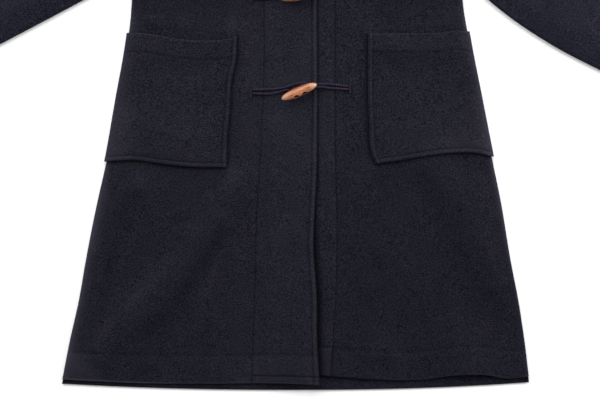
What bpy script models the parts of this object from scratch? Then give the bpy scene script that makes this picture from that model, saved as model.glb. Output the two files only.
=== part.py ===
"""Duffle coat laid flat: wool panels, sleeves, hood, patch pockets, toggles and their cords.

The coat lies on its back in the XY plane, which is the surface it rests on, with +Y towards the
hood and the wearer's right at -X. Sizes in this file are millimetres; the meshes are in metres.
Heights up the coat are measured from the lowest point of the back hem.
"""

import math
from bisect import bisect_right
from typing import NamedTuple

import bmesh
import bpy
import numpy
from mathutils import Vector

MM = 0.001
OBJECT_NAME = "duffle_coat"
ORIGIN_HEIGHT = 400.0  # the part's origin lies under the back, this far above the hem

# Cloth
WALL = 2.5  # heavy wool
SEAM_GAP = 0.3
LAYER = WALL + 0.5  # rise of one layer lying on another
ROLL = 4.2  # outer radius of a rolled side edge
ROLL_TOP = 2.0 * ROLL + SEAM_GAP
ROLL_LENGTH = ROLL * math.pi / 2.0  # of one front's or one back's share of the roll
ROLL_STEPS = 3
REST_TOP = 6.0  # outer face of a front that lies on the back
LOWEST_TOP = 2.0 * WALL + 0.4
POCKET_RISE = WALL + 0.5  # outer face of a pocket above the front
POCKET_BULGE = 3.4  # low in the pocket
POCKET_BULGE_UP = 0.17
POCKET_GAPE = 2.6  # at the mouth
POCKET_GAPE_START = 0.7
SIDE_SOFTNESS = 20.0  # how far in from a rolled side the front sinks to rest
FOLD_MARGIN = 14.0  # width beside a rolled edge that folds leave plain
POCKET_ROOT = 380.0  # height at which a pocket's rows are first measured

# Body heights
HEM_FADE = 150.0
ROLL_END = 467.0  # the side's roll opens out between here and the armpit
ARMPIT = 540.0
ARMPIT_LIFT = 1.8  # of the front where the roll opens out
YOKE_START = 600.0  # above this the cross lines bend to follow shoulders and neck
SHOULDER_TIP = 808.0
NECK_POINT = 862.0
NECK_HALF = 88.0
FRONT_NECK_DROP = 72.0
HIDDEN_NECK_DROP = 1.5  # further drop of the lower front, which hides under the upper one
BACK_NECK_DROP = 16.0
HOOD_GAP = 0.4  # at the back neck
HOOD_FRONT_GAP = 0.9
HOOD_HALF_GAP = 0.25  # each half's distance from the crown seam
SHOULDER_HALF = 196.5
BACK_HEM_RISE = 11.0  # at the sides, above its lowest point in the middle
HEM_HALF = 303.0
NECK_SHARE = NECK_HALF / SHOULDER_HALF  # the column that ends at the neck point

# Overlap of the fronts
HIDDEN_EDGE = -26.0  # front edge of the lower front
STEP_START = -56.0  # where the upper front starts to climb on to the lower one
STEP_END = -30.0
EDGE_RISE = 1.6  # of the upper front's edge
EDGE_LIFT = 11.0  # extra lift of that edge at the hem
EDGE_LIFT_REACH = 140.0
EDGE_LIFT_START = -24.0  # the lift starts here and is full at the next place
EDGE_LIFT_FULL = 22.0
FACING_RISE = 2.0  # of the lower front where its facing lies behind it
FACING_START = 44.0
FACING_END = 70.0
ROLL_OUT_LIFT = 475.0  # where the front is lifted most as the roll opens out
ROLL_OUT_REACH = 36.0

# Fastenings
TOGGLE_COUNT = 4
TOGGLE_HEIGHT = 387.0
TOGGLE_SPACING = 124.0
TOGGLE_X = 3.2
TOGGLE_LENGTH = 49.0
TOGGLE_RADIUS = 6.8
TOGGLE_CLEARANCE = 14.6  # toggle's axis above the cloth
HOLE_OFFSET = 5.6
HOLE_RADIUS = 2.3
HOLE_LEAN = math.radians(43.0)
TUNNEL_RADIUS = 2.1  # of the way from hole to hole inside the toggle
DRILL_SIDES = 8
TUNNEL_OUT = 2.8  # of that way from the toggle's axis
CORD_RADIUS = 1.7
CORD_GAP = 0.4  # of a cord or bar above the cloth it lies on
BAR_WIDTH = 4.0
BAR_EDGE = 0.9
BAR_LENGTH = 12.0
BAR_THICKNESS = 3.2
LOOP_BAR = (-59.2, -1.4)  # from the centre line, and from the toggle's height
STRAP_BAR = (69.4, 4.6)
TOGGLE_TURNS = (23.0, 9.0, 14.0, 19.0)  # degrees, right end up, from the lowest toggle

NAVY = (0.014, 0.015, 0.024, 1.0)
CORD_COLOUR = (0.022, 0.018, 0.032, 1.0)
WOOD = (0.36, 0.17, 0.07, 1.0)


class SideRow(NamedTuple):
    """Distance of the body's side from the centre line at a height."""

    height: float
    right: float
    left: float


class PlaceRow(NamedTuple):
    """Height of an edge at a distance from the centre line."""

    x: float
    height: float


class EdgeRow(NamedTuple):
    """Distance of an upright edge from the centre line at a height."""

    height: float
    x: float


class SleeveRow(NamedTuple):
    """Under and upper edge of a sleeve at a fraction of its length."""

    along: float
    under_x: float
    under_y: float
    upper_x: float
    upper_y: float


class HoodRow(NamedTuple):
    """Centre seam, outline and face edge of half a hood, from the neck to the crown."""

    turn: float
    centre_y: float
    outline_x: float
    outline_y: float
    face_x: float
    face_y: float


class Fold(NamedTuple):
    """Soft ridge, or trough where its height is negative, along a bent line in plan."""

    name: str
    start: tuple
    middle: tuple
    end: tuple
    width: float
    height: float


class CordRow(NamedTuple):
    """Place on a cord: across, up from the toggle's height, and its lift above the cloth."""

    x: float
    up: float
    lift: float


CORD_OVER = 2.0 * CORD_RADIUS + CORD_GAP  # lift of a cord that crosses another
FOOT_DROP = 2.2  # of the strap's cord under the toggle
FOOT_RUN = 5.5
STRAP_NEAR_X = 21.0
STRAP_NEAR = (1.6, -2.2)  # of the strap's two strands there, up from the nearer foot
STRAND_GAP = 3.8
STRAP_ENDS = (7.7, 3.8)  # of the two strands at the bar, up from the toggle's height
STRAP_UPPER = (CordRow(44.0, 10.3, 0.4), CordRow(31.5, 10.4, 4.8))
STRAP_LOWER = (CordRow(31.5, 6.6, 4.8), CordRow(44.0, 5.4, 0.4))
LOOP_ENDS = (3.3, -1.4)
LOOP_ROUTE = (
    CordRow(-33.0, 3.8, 0.0),
    CordRow(-18.0, 5.4, 0.0),
    CordRow(-7.0, 8.6, 0.8),
    CordRow(5.0, 11.6, CORD_OVER),
    CordRow(13.5, 10.4, CORD_OVER),
    CordRow(17.0, 5.2, CORD_OVER),
    CordRow(13.5, -0.6, CORD_OVER),
    CordRow(1.0, -4.6, 2.0),
    CordRow(-8.4, -1.0, 0.1),
    CordRow(-11.4, 2.6, 0.0),
    CordRow(-17.4, 1.6, 0.0),
    CordRow(-25.0, -0.6, 0.0),
    CordRow(-36.0, -2.2, 0.0),
)

SIDES = (
    SideRow(0, 305.0, 302.5),
    SideRow(65, 294.0, 296.0),
    SideRow(117, 283.0, 288.5),
    SideRow(169, 274.0, 278.5),
    SideRow(247, 258.5, 265.5),
    SideRow(291, 248.5, 256.5),
    SideRow(377, 233.0, 239.5),
    SideRow(468, 217.5, 222.0),
    SideRow(507, 214.0, 216.0),
    SideRow(540, 213.5, 215.0),
    SideRow(600, 194.0, 195.0),
    SideRow(660, 182.0, 183.0),
    SideRow(720, 180.0, 181.0),
    SideRow(808, 196.0, 197.0),
)

FRONT_EDGE = (
    EdgeRow(0, 31.0),
    EdgeRow(65, 28.0),
    EdgeRow(117, 26.0),
    EdgeRow(195, 20.5),
    EdgeRow(227, 22.0),
    EdgeRow(262, 25.5),
    EdgeRow(394, 27.3),
    EdgeRow(540, 26.5),
    EdgeRow(862, 26.0),
)

RIGHT_HEM = (
    PlaceRow(-305, 14.0),
    PlaceRow(-260, 11.4),
    PlaceRow(-203, 9.0),
    PlaceRow(-120, 8.2),
    PlaceRow(-20, 9.0),
    PlaceRow(31, 8.2),
)

LEFT_HEM = (
    PlaceRow(-26, 22.0),
    PlaceRow(38, 18.7),
    PlaceRow(63, 16.2),
    PlaceRow(108, 13.4),
    PlaceRow(160, 13.0),
    PlaceRow(207, 19.5),
    PlaceRow(245, 19.8),
    PlaceRow(275, 14.8),
    PlaceRow(303, 18.0),
)

RIGHT_POCKET_TOP = (
    PlaceRow(-222, 464.0),
    PlaceRow(-203, 464.0),
    PlaceRow(-177, 460.5),
    PlaceRow(-158, 457.0),
    PlaceRow(-119, 454.4),
    PlaceRow(-93, 455.7),
    PlaceRow(-77, 460.2),
)
RIGHT_POCKET_BOTTOM = (
    PlaceRow(-245, 297.0),
    PlaceRow(-212, 298.5),
    PlaceRow(-177, 293.8),
    PlaceRow(-142, 290.0),
    PlaceRow(-91, 289.0),
)
RIGHT_POCKET_EDGE = (
    EdgeRow(290, -91.0),
    EdgeRow(334, -89.5),
    EdgeRow(364, -86.5),
    EdgeRow(403, -84.0),
    EdgeRow(429, -78.5),
    EdgeRow(460, -77.0),
)

LEFT_POCKET_TOP = (
    PlaceRow(93, 464.0),
    PlaceRow(134, 463.7),
    PlaceRow(177, 463.7),
    PlaceRow(221, 465.5),
    PlaceRow(230, 462.5),
)
LEFT_POCKET_BOTTOM = (
    PlaceRow(103, 293.8),
    PlaceRow(134, 298.0),
    PlaceRow(164, 303.3),
    PlaceRow(199, 307.5),
    PlaceRow(238, 306.8),
    PlaceRow(256, 302.0),
)
LEFT_POCKET_EDGE = (
    EdgeRow(294, 103.5),
    EdgeRow(303, 99.5),
    EdgeRow(355, 94.3),
    EdgeRow(464, 93.0),
)

RIGHT_SLEEVE = (
    SleeveRow(0.00, -214.0, 540.0, -196.5, 808.0),
    SleeveRow(0.15, -262.0, 515.0, -275.0, 758.0),
    SleeveRow(0.35, -333.0, 477.0, -385.0, 677.0),
    SleeveRow(0.60, -433.0, 425.0, -515.0, 583.0),
    SleeveRow(0.80, -522.0, 380.0, -602.0, 521.0),
    SleeveRow(1.00, -612.0, 334.0, -690.0, 460.0),
)
LEFT_SLEEVE = (
    SleeveRow(0.00, 215.5, 540.0, 197.5, 808.0),
    SleeveRow(0.15, 262.0, 497.0, 275.0, 750.0),
    SleeveRow(0.35, 330.0, 450.0, 385.0, 656.0),
    SleeveRow(0.60, 427.0, 400.0, 510.0, 558.0),
    SleeveRow(0.80, 514.0, 355.0, 597.0, 494.0),
    SleeveRow(1.00, 604.0, 309.0, 684.0, 430.0),
)

HOOD = (
    HoodRow(0.0, 846.0, 88.0, 862.0, 4.0, 790.0),
    HoodRow(0.2, 882.0, 126.0, 905.0, 42.0, 842.0),
    HoodRow(0.4, 920.0, 148.0, 975.0, 66.0, 912.0),
    HoodRow(0.6, 962.0, 144.0, 1052.0, 70.0, 985.0),
    HoodRow(0.8, 1000.0, 110.0, 1122.0, 52.0, 1046.0),
    HoodRow(0.9, 1016.0, 62.0, 1154.0, 29.0, 1074.0),
    HoodRow(1.0, 1026.0, 0.0, 1166.0, 0.0, 1084.0),
    HoodRow(1.1, 1016.0, -62.0, 1154.0, -29.0, 1074.0),
)

RIGHT_FOLDS = (
    Fold("drag from pocket corner", (-80, 266), (-138, 172), (-252, 44), 23.0, 7.0),
    Fold("steep side of the drag", (-92, 226), (-136, 158), (-196, 82), 13.0, 2.6),
    Fold("swell by the side", (-212, 264), (-243, 208), (-280, 76), 17.0, 8.2),
    Fold("swell by the facing", (-88, 172), (-100, 134), (-112, 96), 15.0, 2.8),
    Fold("hem wave by the drag", (-168, 0), (-166, 22), (-158, 46), 10.0, 2.2),
    Fold("hem wave at middle", (-136, 0), (-137, 20), (-134, 40), 9.0, 1.8),
    Fold("hem wave by the facing", (-106, 0), (-106, 20), (-104, 42), 10.0, 1.8),
    Fold("hem wave near side", (-222, 0), (-220, 26), (-212, 48), 13.0, 1.8),
    Fold("drag above pocket", (-204, 478), (-172, 476), (-138, 470), 9.0, 2.2),
    Fold("fold from the armpit", (-200, 540), (-196, 512), (-192, 484), 9.0, 2.4),
    Fold("chest ease", (-150, 640), (-130, 590), (-122, 530), 20.0, 1.8),
)
LEFT_FOLDS = (
    Fold("swell inside the hollow", (176, 292), (212, 232), (262, 140), 21.0, 9.0),
    Fold("swell by the facing", (98, 128), (98, 92), (108, 50), 22.0, 3.4),
    Fold("lifted hem", (226, -10), (222, 20), (216, 50), 34.0, 9.5),
    Fold("hem wave near facing", (89, 0), (88, 22), (92, 46), 10.0, 2.0),
    Fold("hem wave at middle", (126, 0), (127, 20), (124, 44), 10.0, 1.8),
    Fold("drag above pocket", (196, 480), (168, 476), (132, 474), 9.0, 1.8),
    Fold("fold from the armpit", (199, 540), (196, 508), (193, 478), 9.0, 3.0),
    Fold("chest ease", (150, 640), (128, 586), (118, 520), 20.0, 1.6),
)
RIGHT_SLEEVE_FOLDS = (
    Fold("armpit drag", (-236, 590), (-286, 566), (-342, 534), 13.0, 2.6),
    Fold("cap ease", (-226, 700), (-262, 640), (-292, 604), 16.0, 2.0),
    Fold("elbow crease", (-438, 462), (-462, 498), (-468, 532), 10.0, 2.2),
    Fold("elbow crease", (-470, 448), (-498, 478), (-508, 508), 9.0, 1.6),
)
LEFT_SLEEVE_FOLDS = (
    Fold("armpit drag", (238, 582), (284, 548), (336, 508), 13.0, 2.8),
    Fold("cap ease", (228, 694), (262, 630), (290, 586), 16.0, 2.0),
    Fold("elbow crease", (428, 440), (452, 474), (462, 508), 10.0, 2.2),
    Fold("elbow crease", (474, 412), (496, 442), (504, 470), 9.0, 1.6),
)

BACK_COLUMNS = (-0.8, -0.62, -NECK_SHARE, -0.22, 0.0, 0.22, NECK_SHARE, 0.62, 0.8)

SLEEVE_RINGS = 15
CAP_SHARE = 0.35  # of the sleeve, over which the armhole's curve fades
HOOD_TURNS = (0.0, 0.1, 0.2, 0.3, 0.4, 0.5, 0.6, 0.7, 0.8, 0.87, 0.93, 0.97, 1.0)
NECK_TURN = 0.3  # share of the hood's outline over which the neck's curve fades
POCKET_ROWS = (0.0, 0.05, 0.11, 0.18, 0.28, 0.44, 0.6, 0.74, 0.88, 1.0)
POCKET_COLUMNS = (0.06, 0.2, 0.36, 0.52, 0.68, 0.84, 0.95, 1.0)

# Cross lines of the body, from the hem to the neck point
ARMHOLE_STATIONS = numpy.linspace(ARMPIT, NECK_POINT, 9)
LOWER_STATIONS = (
    0.0, 10.0, 26.0, 46.0, 70.0, 96.0, 122.0, 148.0, 174.0, 200.0, 226.0, 252.0, 272.0, 290.0, 310.0,
    345.0, 388.0, 430.0, ROLL_END, 503.0,
)
STATIONS = (*LOWER_STATIONS, *ARMHOLE_STATIONS)


def read(table, column, place):
    """Read a column at a place along the table, on a smooth curve through its rows."""
    places = [row[0] for row in table]
    values = [getattr(row, column) for row in table]
    place = min(max(place, places[0]), places[-1])
    slopes = numpy.gradient(values, places)
    index = min(bisect_right(places, place), len(places) - 1) - 1
    span = places[index + 1] - places[index]
    t = (place - places[index]) / span
    rise = values[index + 1] - values[index]
    start_bend = slopes[index] * span - rise
    end_bend = rise - slopes[index + 1] * span
    return values[index] + t * rise + t * (1.0 - t) * ((1.0 - t) * start_bend + t * end_bend)


def ease(value):
    """Smooth step from 0 to 1."""
    value = min(max(value, 0.0), 1.0)
    return value * value * (3.0 - 2.0 * value)


def bell(distance, width):
    """Smooth bump of height 1 that is about twice its width across."""
    return math.exp(-((distance / width) ** 2))


def bent_line(start, middle, end, steps=8):
    """Points on the curve from start to end that passes through middle."""
    control = 2.0 * numpy.array(middle) - (numpy.array(start) + numpy.array(end)) / 2.0
    points = []
    for t in numpy.linspace(0.0, 1.0, steps + 1):
        start_part = (1.0 - t) ** 2 * numpy.array(start)
        points.append(start_part + 2.0 * t * (1.0 - t) * control + t * t * numpy.array(end))
    return points


def distance_to_line(point, line):
    """Shortest distance in plan from a point to a line of points."""
    best = math.inf
    for first, last in zip(line, line[1:]):
        run = last - first
        t = min(max(float((point - first) @ run) / float(run @ run), 0.0), 1.0)
        best = min(best, float(numpy.linalg.norm(point - first - t * run)))
    return best


def prepare(folds):
    """Pair each fold with its line in plan."""
    return [(fold, bent_line(fold.start, fold.middle, fold.end)) for fold in folds]


FOLD_LINES = {
    "right": prepare(RIGHT_FOLDS),
    "left": prepare(LEFT_FOLDS),
    "sleeve_right": prepare(RIGHT_SLEEVE_FOLDS),
    "sleeve_left": prepare(LEFT_SLEEVE_FOLDS),
}


def fold_rise(key, x, height):
    """Sum of the folds of one piece at a place in plan."""
    point = numpy.array((x, height))
    rise = 0.0
    for fold, line in FOLD_LINES[key]:
        rise += fold.height * bell(distance_to_line(point, line), fold.width)
    return rise


def shoulder_or_neck(x, drop):
    """Height of the top edge of a body panel, with its neckline dropped by drop."""
    across = abs(x)
    if across < NECK_HALF:
        return NECK_POINT - drop * (1.0 - (across / NECK_HALF) ** 2)
    fall = (NECK_POINT - SHOULDER_TIP) / (SHOULDER_HALF - NECK_HALF)
    return NECK_POINT - fall * (across - NECK_HALF)


def body_height(station, hem, top):
    """Height of a cross line where the hem and the top edge have the given heights."""
    if station < HEM_FADE:
        return station + hem * (1.0 - station / HEM_FADE) ** 2
    if station > YOKE_START:
        return YOKE_START + (station - YOKE_START) / (NECK_POINT - YOKE_START) * (top - YOKE_START)
    return station


def side_distance(side, station):
    """Distance of the body's side from the centre line on a cross line."""
    return read(SIDES, side, body_height(station, 0.0, SHOULDER_TIP))


def sign_of(side):
    """Direction of a side in plan: the wearer's right is at -X."""
    return -1.0 if side == "right" else 1.0


def roll_share(station):
    """How fully the side is rolled: 1 up to the armpit, 0 along the armhole."""
    return 1.0 - ease((station - ROLL_END) / (ARMPIT - ROLL_END))


def back_hem(x):
    """Height of the back hem."""
    return BACK_HEM_RISE * (abs(x) / HEM_HALF) ** 2.2


def front_hem(side, x):
    """Height of a front's hem."""
    return read(RIGHT_HEM if side == "right" else LEFT_HEM, "height", x)


def own_height(side, x, height):
    """Outer face of a front that lies straight on the back."""
    inset = max(read(SIDES, side, height) - ROLL - abs(x), 0.0)
    rise = (ROLL_TOP - REST_TOP) * bell(inset, SIDE_SOFTNESS)
    if side == "left":
        rise += FACING_RISE * ease((FACING_END - x) / (FACING_END - FACING_START))
    folds = fold_rise(side, x, height) * (1.0 - bell(inset, FOLD_MARGIN))
    return max(REST_TOP + rise + folds, LOWEST_TOP)


def front_height(side, x, height):
    """Outer face of a front, with the upper front lying on the lower one where they overlap."""
    if side == "left":
        return own_height("left", x, height)
    climb = ease((x - STEP_START) / (STEP_END - STEP_START))
    if climb == 0.0:
        return own_height("right", x, height)
    run = (x - EDGE_LIFT_START) / (EDGE_LIFT_FULL - EDGE_LIFT_START)
    tilt = (x - STEP_START) / (EDGE_LIFT_FULL - STEP_START)
    lift = EDGE_RISE * ease(tilt) + EDGE_LIFT * bell(height, EDGE_LIFT_REACH) * ease(run)
    over = own_height("left", x, height) + LAYER + lift
    return own_height("right", x, height) * (1.0 - climb) + over * climb


def roll_profile(share, out=0.0):
    """Inset and rise of the corners of a side's roll, from its edge in to where it starts.

    The roll turns up by a quarter turn times share, on faces that touch an arc from outside, so
    a layer that lies out by some distance on the roll stays that far off all the way round.
    """
    radius = ROLL + out
    turn = math.pi / 2.0 * share
    step = turn / ROLL_STEPS
    corners = []
    for number in range(ROLL_STEPS + 1):
        angle = turn if number == 0 else turn - (number - 0.5) * step
        reach = radius if number == 0 else radius / math.cos(step / 2.0)
        spread = ROLL_LENGTH * (1.0 - share) * number / ROLL_STEPS
        inset = spread + ROLL * math.sin(turn) + out - reach * math.sin(angle)
        corners.append((inset, radius - reach * math.cos(angle)))
    return corners


def roll_width(share):
    """Width in plan that a side's roll takes up."""
    return roll_profile(share)[-1][0]


def front_point(side, inset, station, drop=0.0, out=0.0):
    """Point of a front at an inset from its side, dropped on the roll and moved out."""
    x = sign_of(side) * (side_distance(side, station) - inset)
    neck_drop = FRONT_NECK_DROP + (HIDDEN_NECK_DROP if side == "left" else 0.0)
    height = body_height(station, front_hem(side, x), shoulder_or_neck(x, neck_drop))
    lift = ARMPIT_LIFT * bell(station - ROLL_OUT_LIFT, ROLL_OUT_REACH) * bell(inset, 10.0)
    return Vector((x, height, front_height(side, x, height) + lift + out - drop))


def front_insets(side, station):
    """Insets from the side of a front's flat columns, to its front edge."""
    half = side_distance(side, station)
    start = roll_width(roll_share(station))
    neck_column = start + (half - start) * (1.0 - NECK_SHARE)
    insets = list(numpy.linspace(start, neck_column, 8)[1:])
    if side == "right":
        edge = read(FRONT_EDGE, "x", station)
        insets += list(numpy.linspace(neck_column, half + STEP_START, 4)[1:])
        insets += list(numpy.linspace(half + STEP_START, half + STEP_END, 4)[1:])
        insets += list(numpy.linspace(half + STEP_END, half + edge, 5)[1:])
    else:
        insets += list(numpy.linspace(neck_column, half - HIDDEN_EDGE, 8)[1:])
    return insets


def front_rows(side):
    """Grid of a front's outer face, from the hem up."""
    rows = []
    for station in STATIONS:
        corners = roll_profile(roll_share(station))
        row = [front_point(side, inset, station, rise) for inset, rise in corners]
        row += [front_point(side, inset, station) for inset in front_insets(side, station)]
        rows.append(row)
    return rows


def back_rows():
    """Grid of the back's outer face, flat on the surface and rolled up at both sides."""
    rows = []
    for station in STATIONS:
        share = roll_share(station)
        corners = roll_profile(share)
        right = side_distance("right", station)
        left = side_distance("left", station)
        row = [(inset - right, rise) for inset, rise in corners]
        for place in BACK_COLUMNS:
            reach = (right if place < 0.0 else left) - roll_width(share)
            row.append((place * reach, 0.0))
        row += [(left - inset, rise) for inset, rise in reversed(corners)]
        points = []
        for x, z in row:
            height = body_height(station, back_hem(x), shoulder_or_neck(x, BACK_NECK_DROP))
            points.append(Vector((x, height, z)))
        rows.append(points)
    return rows


def rolled_section(bottom, top_height):
    """Close a line of points on the surface into a flattened tube's section.

    The line runs from one outline point to the other. The section goes along the surface,
    up round the far end, back over the top and down round the near end.
    """
    near, far = bottom[0], bottom[-1]
    run = (far - near).normalized()
    inner = [near + run * ROLL, *bottom[1:-1], far - run * ROLL]
    section = [Vector((point.x, point.y, 0.0)) for point in inner]
    angles = [math.pi * step / 4.0 for step in (1, 2, 3)]
    for angle in angles:
        point = inner[-1] + run * ROLL * math.sin(angle)
        z = top_height(inner[-1]) / 2.0 * (1.0 - math.cos(angle))
        section.append(Vector((point.x, point.y, z)))
    section += [Vector((point.x, point.y, top_height(point))) for point in reversed(inner)]
    for angle in reversed(angles):
        point = inner[0] - run * ROLL * math.sin(angle)
        z = top_height(inner[0]) / 2.0 * (1.0 - math.cos(angle))
        section.append(Vector((point.x, point.y, z)))
    return section


def sleeve_rows(side, table):
    """Rings of a sleeve from its armhole to its cuff."""
    sign = sign_of(side)
    heights = [body_height(station, 0.0, SHOULDER_TIP) for station in ARMHOLE_STATIONS]
    seam = [sign * (side_distance(side, station) + SEAM_GAP + 0.1) for station in ARMHOLE_STATIONS]
    shares = [(height - heights[0]) / (heights[-1] - heights[0]) for height in heights]
    rows = []
    for along in numpy.linspace(0.0, 1.0, SLEEVE_RINGS):
        under = Vector((read(table, "under_x", along), read(table, "under_y", along), 0.0))
        upper = Vector((read(table, "upper_x", along), read(table, "upper_y", along), 0.0))
        cap = (1.0 - min(along / CAP_SHARE, 1.0)) ** 2
        line = []
        for share, seam_x in zip(shares, seam):
            straight = seam[0] + share * (seam[-1] - seam[0])
            line.append(under.lerp(upper, share) + Vector((cap * (seam_x - straight), 0.0, 0.0)))
        length = (upper - under).length
        middle = (under + upper) / 2.0
        folds = "sleeve_" + side

        def top_height(point, middle=middle, length=length, folds=folds):
            inset = max(length / 2.0 - (point - middle).length, 0.0)
            rise = fold_rise(folds, point.x, point.y)
            return ROLL_TOP + rise * (1.0 - bell(inset, FOLD_MARGIN))

        rows.append(rolled_section(line, top_height))
    return rows


def neck_lifts(edge_row, start, end, steps):
    """Heights of a body panel's top edge above the straight line from start to end."""
    places = sorted((corner.x, corner.y) for corner in edge_row)
    line = [start.lerp(end, share) for share in numpy.linspace(0.0, 1.0, steps)]
    at = numpy.interp([point.x for point in line], *zip(*places))
    return [float(height) - point.y for height, point in zip(at, line)]


def hood_rows(side):
    """Grid of half a hood: out along the surface, round the outline and back to the face edge."""
    sign = sign_of(side)
    shares = numpy.linspace(0.0, 1.0, 6)
    rows = []
    for turn in HOOD_TURNS:
        centre = Vector((sign * HOOD_HALF_GAP, read(HOOD, "centre_y", turn), 0.0))
        outline_x = max(read(HOOD, "outline_x", turn), HOOD_HALF_GAP)
        face_x = max(read(HOOD, "face_x", turn), HOOD_HALF_GAP)
        outline = Vector((sign * outline_x, read(HOOD, "outline_y", turn), 0.0))
        face = Vector((sign * face_x, read(HOOD, "face_y", turn), 0.0))
        out = (outline - centre).normalized()
        back = (face - outline).normalized()
        if turn == 0.0:
            under_lifts = neck_lifts(back_rows()[-1], centre, outline - out * ROLL, len(shares))
            over_lifts = neck_lifts(front_rows(side)[-1], outline + back * ROLL, face, len(shares))
        seam_share = (1.0 - min(turn / NECK_TURN, 1.0)) ** 2
        row = []
        for share, lift in zip(shares, under_lifts):
            point = centre.lerp(outline - out * ROLL, share)
            row.append(Vector((point.x, point.y + seam_share * lift + HOOD_GAP, 0.0)))
        for step in (1, 2, 3):
            angle = math.pi * step / 4.0
            inwards = -out if angle < math.pi / 2.0 else back
            point = outline + inwards * ROLL * (1.0 - math.sin(angle))
            rise = ROLL_TOP / 2.0 * (1.0 - math.cos(angle))
            row.append(Vector((point.x, point.y + HOOD_GAP, rise)))
        for share, lift in zip(shares, over_lifts):
            point = (outline + back * ROLL).lerp(face, share)
            sink = (ROLL_TOP - REST_TOP) * ease((share - 0.1) / 0.7)
            height = point.y + seam_share * lift + HOOD_FRONT_GAP
            row.append(Vector((point.x, height, ROLL_TOP - sink)))
        rows.append(row)
    return rows


def pocket_swell(across, up):
    """How far a pocket stands off the front, at a share of its width and of its depth."""
    bulge = POCKET_BULGE * bell(up - POCKET_BULGE_UP, 0.16) * ease(up / 0.08)
    gape = POCKET_GAPE * ease((up - POCKET_GAPE_START) / (1.0 - POCKET_GAPE_START))
    return (bulge + gape) * math.sin(math.pi * across) ** 0.7


def pocket_rows(side):
    """Grid of a patch pocket's outer face, made from the front's points moved out."""
    if side == "right":
        top, bottom, edge = RIGHT_POCKET_TOP, RIGHT_POCKET_BOTTOM, RIGHT_POCKET_EDGE
    else:
        top, bottom, edge = LEFT_POCKET_TOP, LEFT_POCKET_BOTTOM, LEFT_POCKET_EDGE
    sign = sign_of(side)
    corners = roll_profile(1.0, POCKET_RISE)
    flat_start = corners[-1][0] - POCKET_RISE
    rows = []
    for up in POCKET_ROWS:
        row = []
        for across in (*range(-ROLL_STEPS, 1), *POCKET_COLUMNS):
            x = sign * side_distance(side, POCKET_ROOT)
            for _ in range(3):
                low = read(bottom, "height", x)
                station = low + up * (read(top, "height", x) - low)
                half = side_distance(side, station)
                width = half - abs(read(edge, "x", station)) - flat_start
                inset, drop = flat_start + across * width, 0.0
                if across <= 0:
                    inset, drop = corners[across + ROLL_STEPS]
                    inset -= POCKET_RISE
                x = sign * (half - inset)
            swell = pocket_swell(max(across, 0.0), up)
            row.append(front_point(side, inset, station, drop, POCKET_RISE + swell))
        rows.append(row)
    return rows


def to_world(point):
    """Place a point given in millimetres and heights above the hem."""
    return Vector((point[0], point[1] - ORIGIN_HEIGHT, point[2])) * MM


def make_material(name, colour, roughness):
    """Make a plain Principled material."""
    made = bpy.data.materials.new(name)
    made.use_nodes = True
    shader = made.node_tree.nodes["Principled BSDF"]
    shader.inputs["Base Color"].default_value = colour
    shader.inputs["Roughness"].default_value = roughness
    shader.inputs["Metallic"].default_value = 0.0
    made.diffuse_color = colour
    return made


def make_object(name, data, collection, made_of):
    """Link a new object with its material."""
    made = bpy.data.objects.new(name, data)
    if made_of is not None:
        data.materials.append(made_of)
    collection.objects.link(made)
    return made


def make_cloth(name, rows, collection, made_of, flip=False, tube=False, even=True):
    """Make a wall of cloth whose outer face is the grid of points in rows.

    An even wall keeps its full thickness round a roll. A wall with a sharp corner isn't even,
    because the corner of its inner face would run out too far.
    """
    work = bmesh.new()
    grid = [[work.verts.new(to_world(point)) for point in row] for row in rows]
    columns = len(grid[0])
    for lower, upper in zip(grid, grid[1:]):
        for column in range(columns if tube else columns - 1):
            following = (column + 1) % columns
            corners = [lower[column], lower[following], upper[following], upper[column]]
            work.faces.new(reversed(corners) if flip else corners)
    mesh = bpy.data.meshes.new(name)
    work.to_mesh(mesh)
    work.free()
    mesh.shade_smooth()
    made = make_object(name, mesh, collection, made_of)
    wall = made.modifiers.new("Wall", "SOLIDIFY")
    wall.thickness = WALL * MM
    wall.offset = -1.0
    wall.use_even_offset = even
    return made


def smooth_route(points, per_span):
    """Points of a smooth curve through a route's own points."""
    padded = [points[0] * 2.0 - points[1], *points, points[-1] * 2.0 - points[-2]]
    route = []
    for index in range(1, len(padded) - 2):
        before, first, last, after = padded[index - 1 : index + 3]
        for step in range(per_span):
            t = step / per_span
            bend = (2.0 * before - 5.0 * first + 4.0 * last - after) * t * t
            twist = (3.0 * first - before - 3.0 * last + after) * t * t * t
            route.append((2.0 * first + (last - before) * t + bend + twist) / 2.0)
    route.append(points[-1])
    return route


def make_cord(name, points, collection, made_of, per_span=2):
    """Make a round cord along a smooth curve through the points."""
    route = smooth_route(points, per_span)
    curve = bpy.data.curves.new(name, "CURVE")
    curve.dimensions = "3D"
    curve.bevel_depth = CORD_RADIUS * MM
    curve.bevel_resolution = 2
    curve.use_fill_caps = True
    spline = curve.splines.new("POLY")
    spline.points.add(len(route) - 1)
    for place, point in zip(spline.points, route):
        place.co = (*to_world(point), 1.0)
    return make_object(name, curve, collection, made_of)


def make_bar(name, centre, collection, made_of):
    """Make the bound bar that holds the ends of a doubled cord."""
    work = bmesh.new()
    bmesh.ops.create_cube(work, size=1.0)
    bmesh.ops.scale(work, vec=Vector((BAR_WIDTH, BAR_LENGTH, BAR_THICKNESS)) * MM, verts=work.verts)
    mesh = bpy.data.meshes.new(name)
    work.to_mesh(mesh)
    work.free()
    made = make_object(name, mesh, collection, made_of)
    made.location = to_world(centre)
    edge = made.modifiers.new("Edge", "BEVEL")
    edge.width = BAR_EDGE * MM
    edge.segments = 1
    return made


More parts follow.
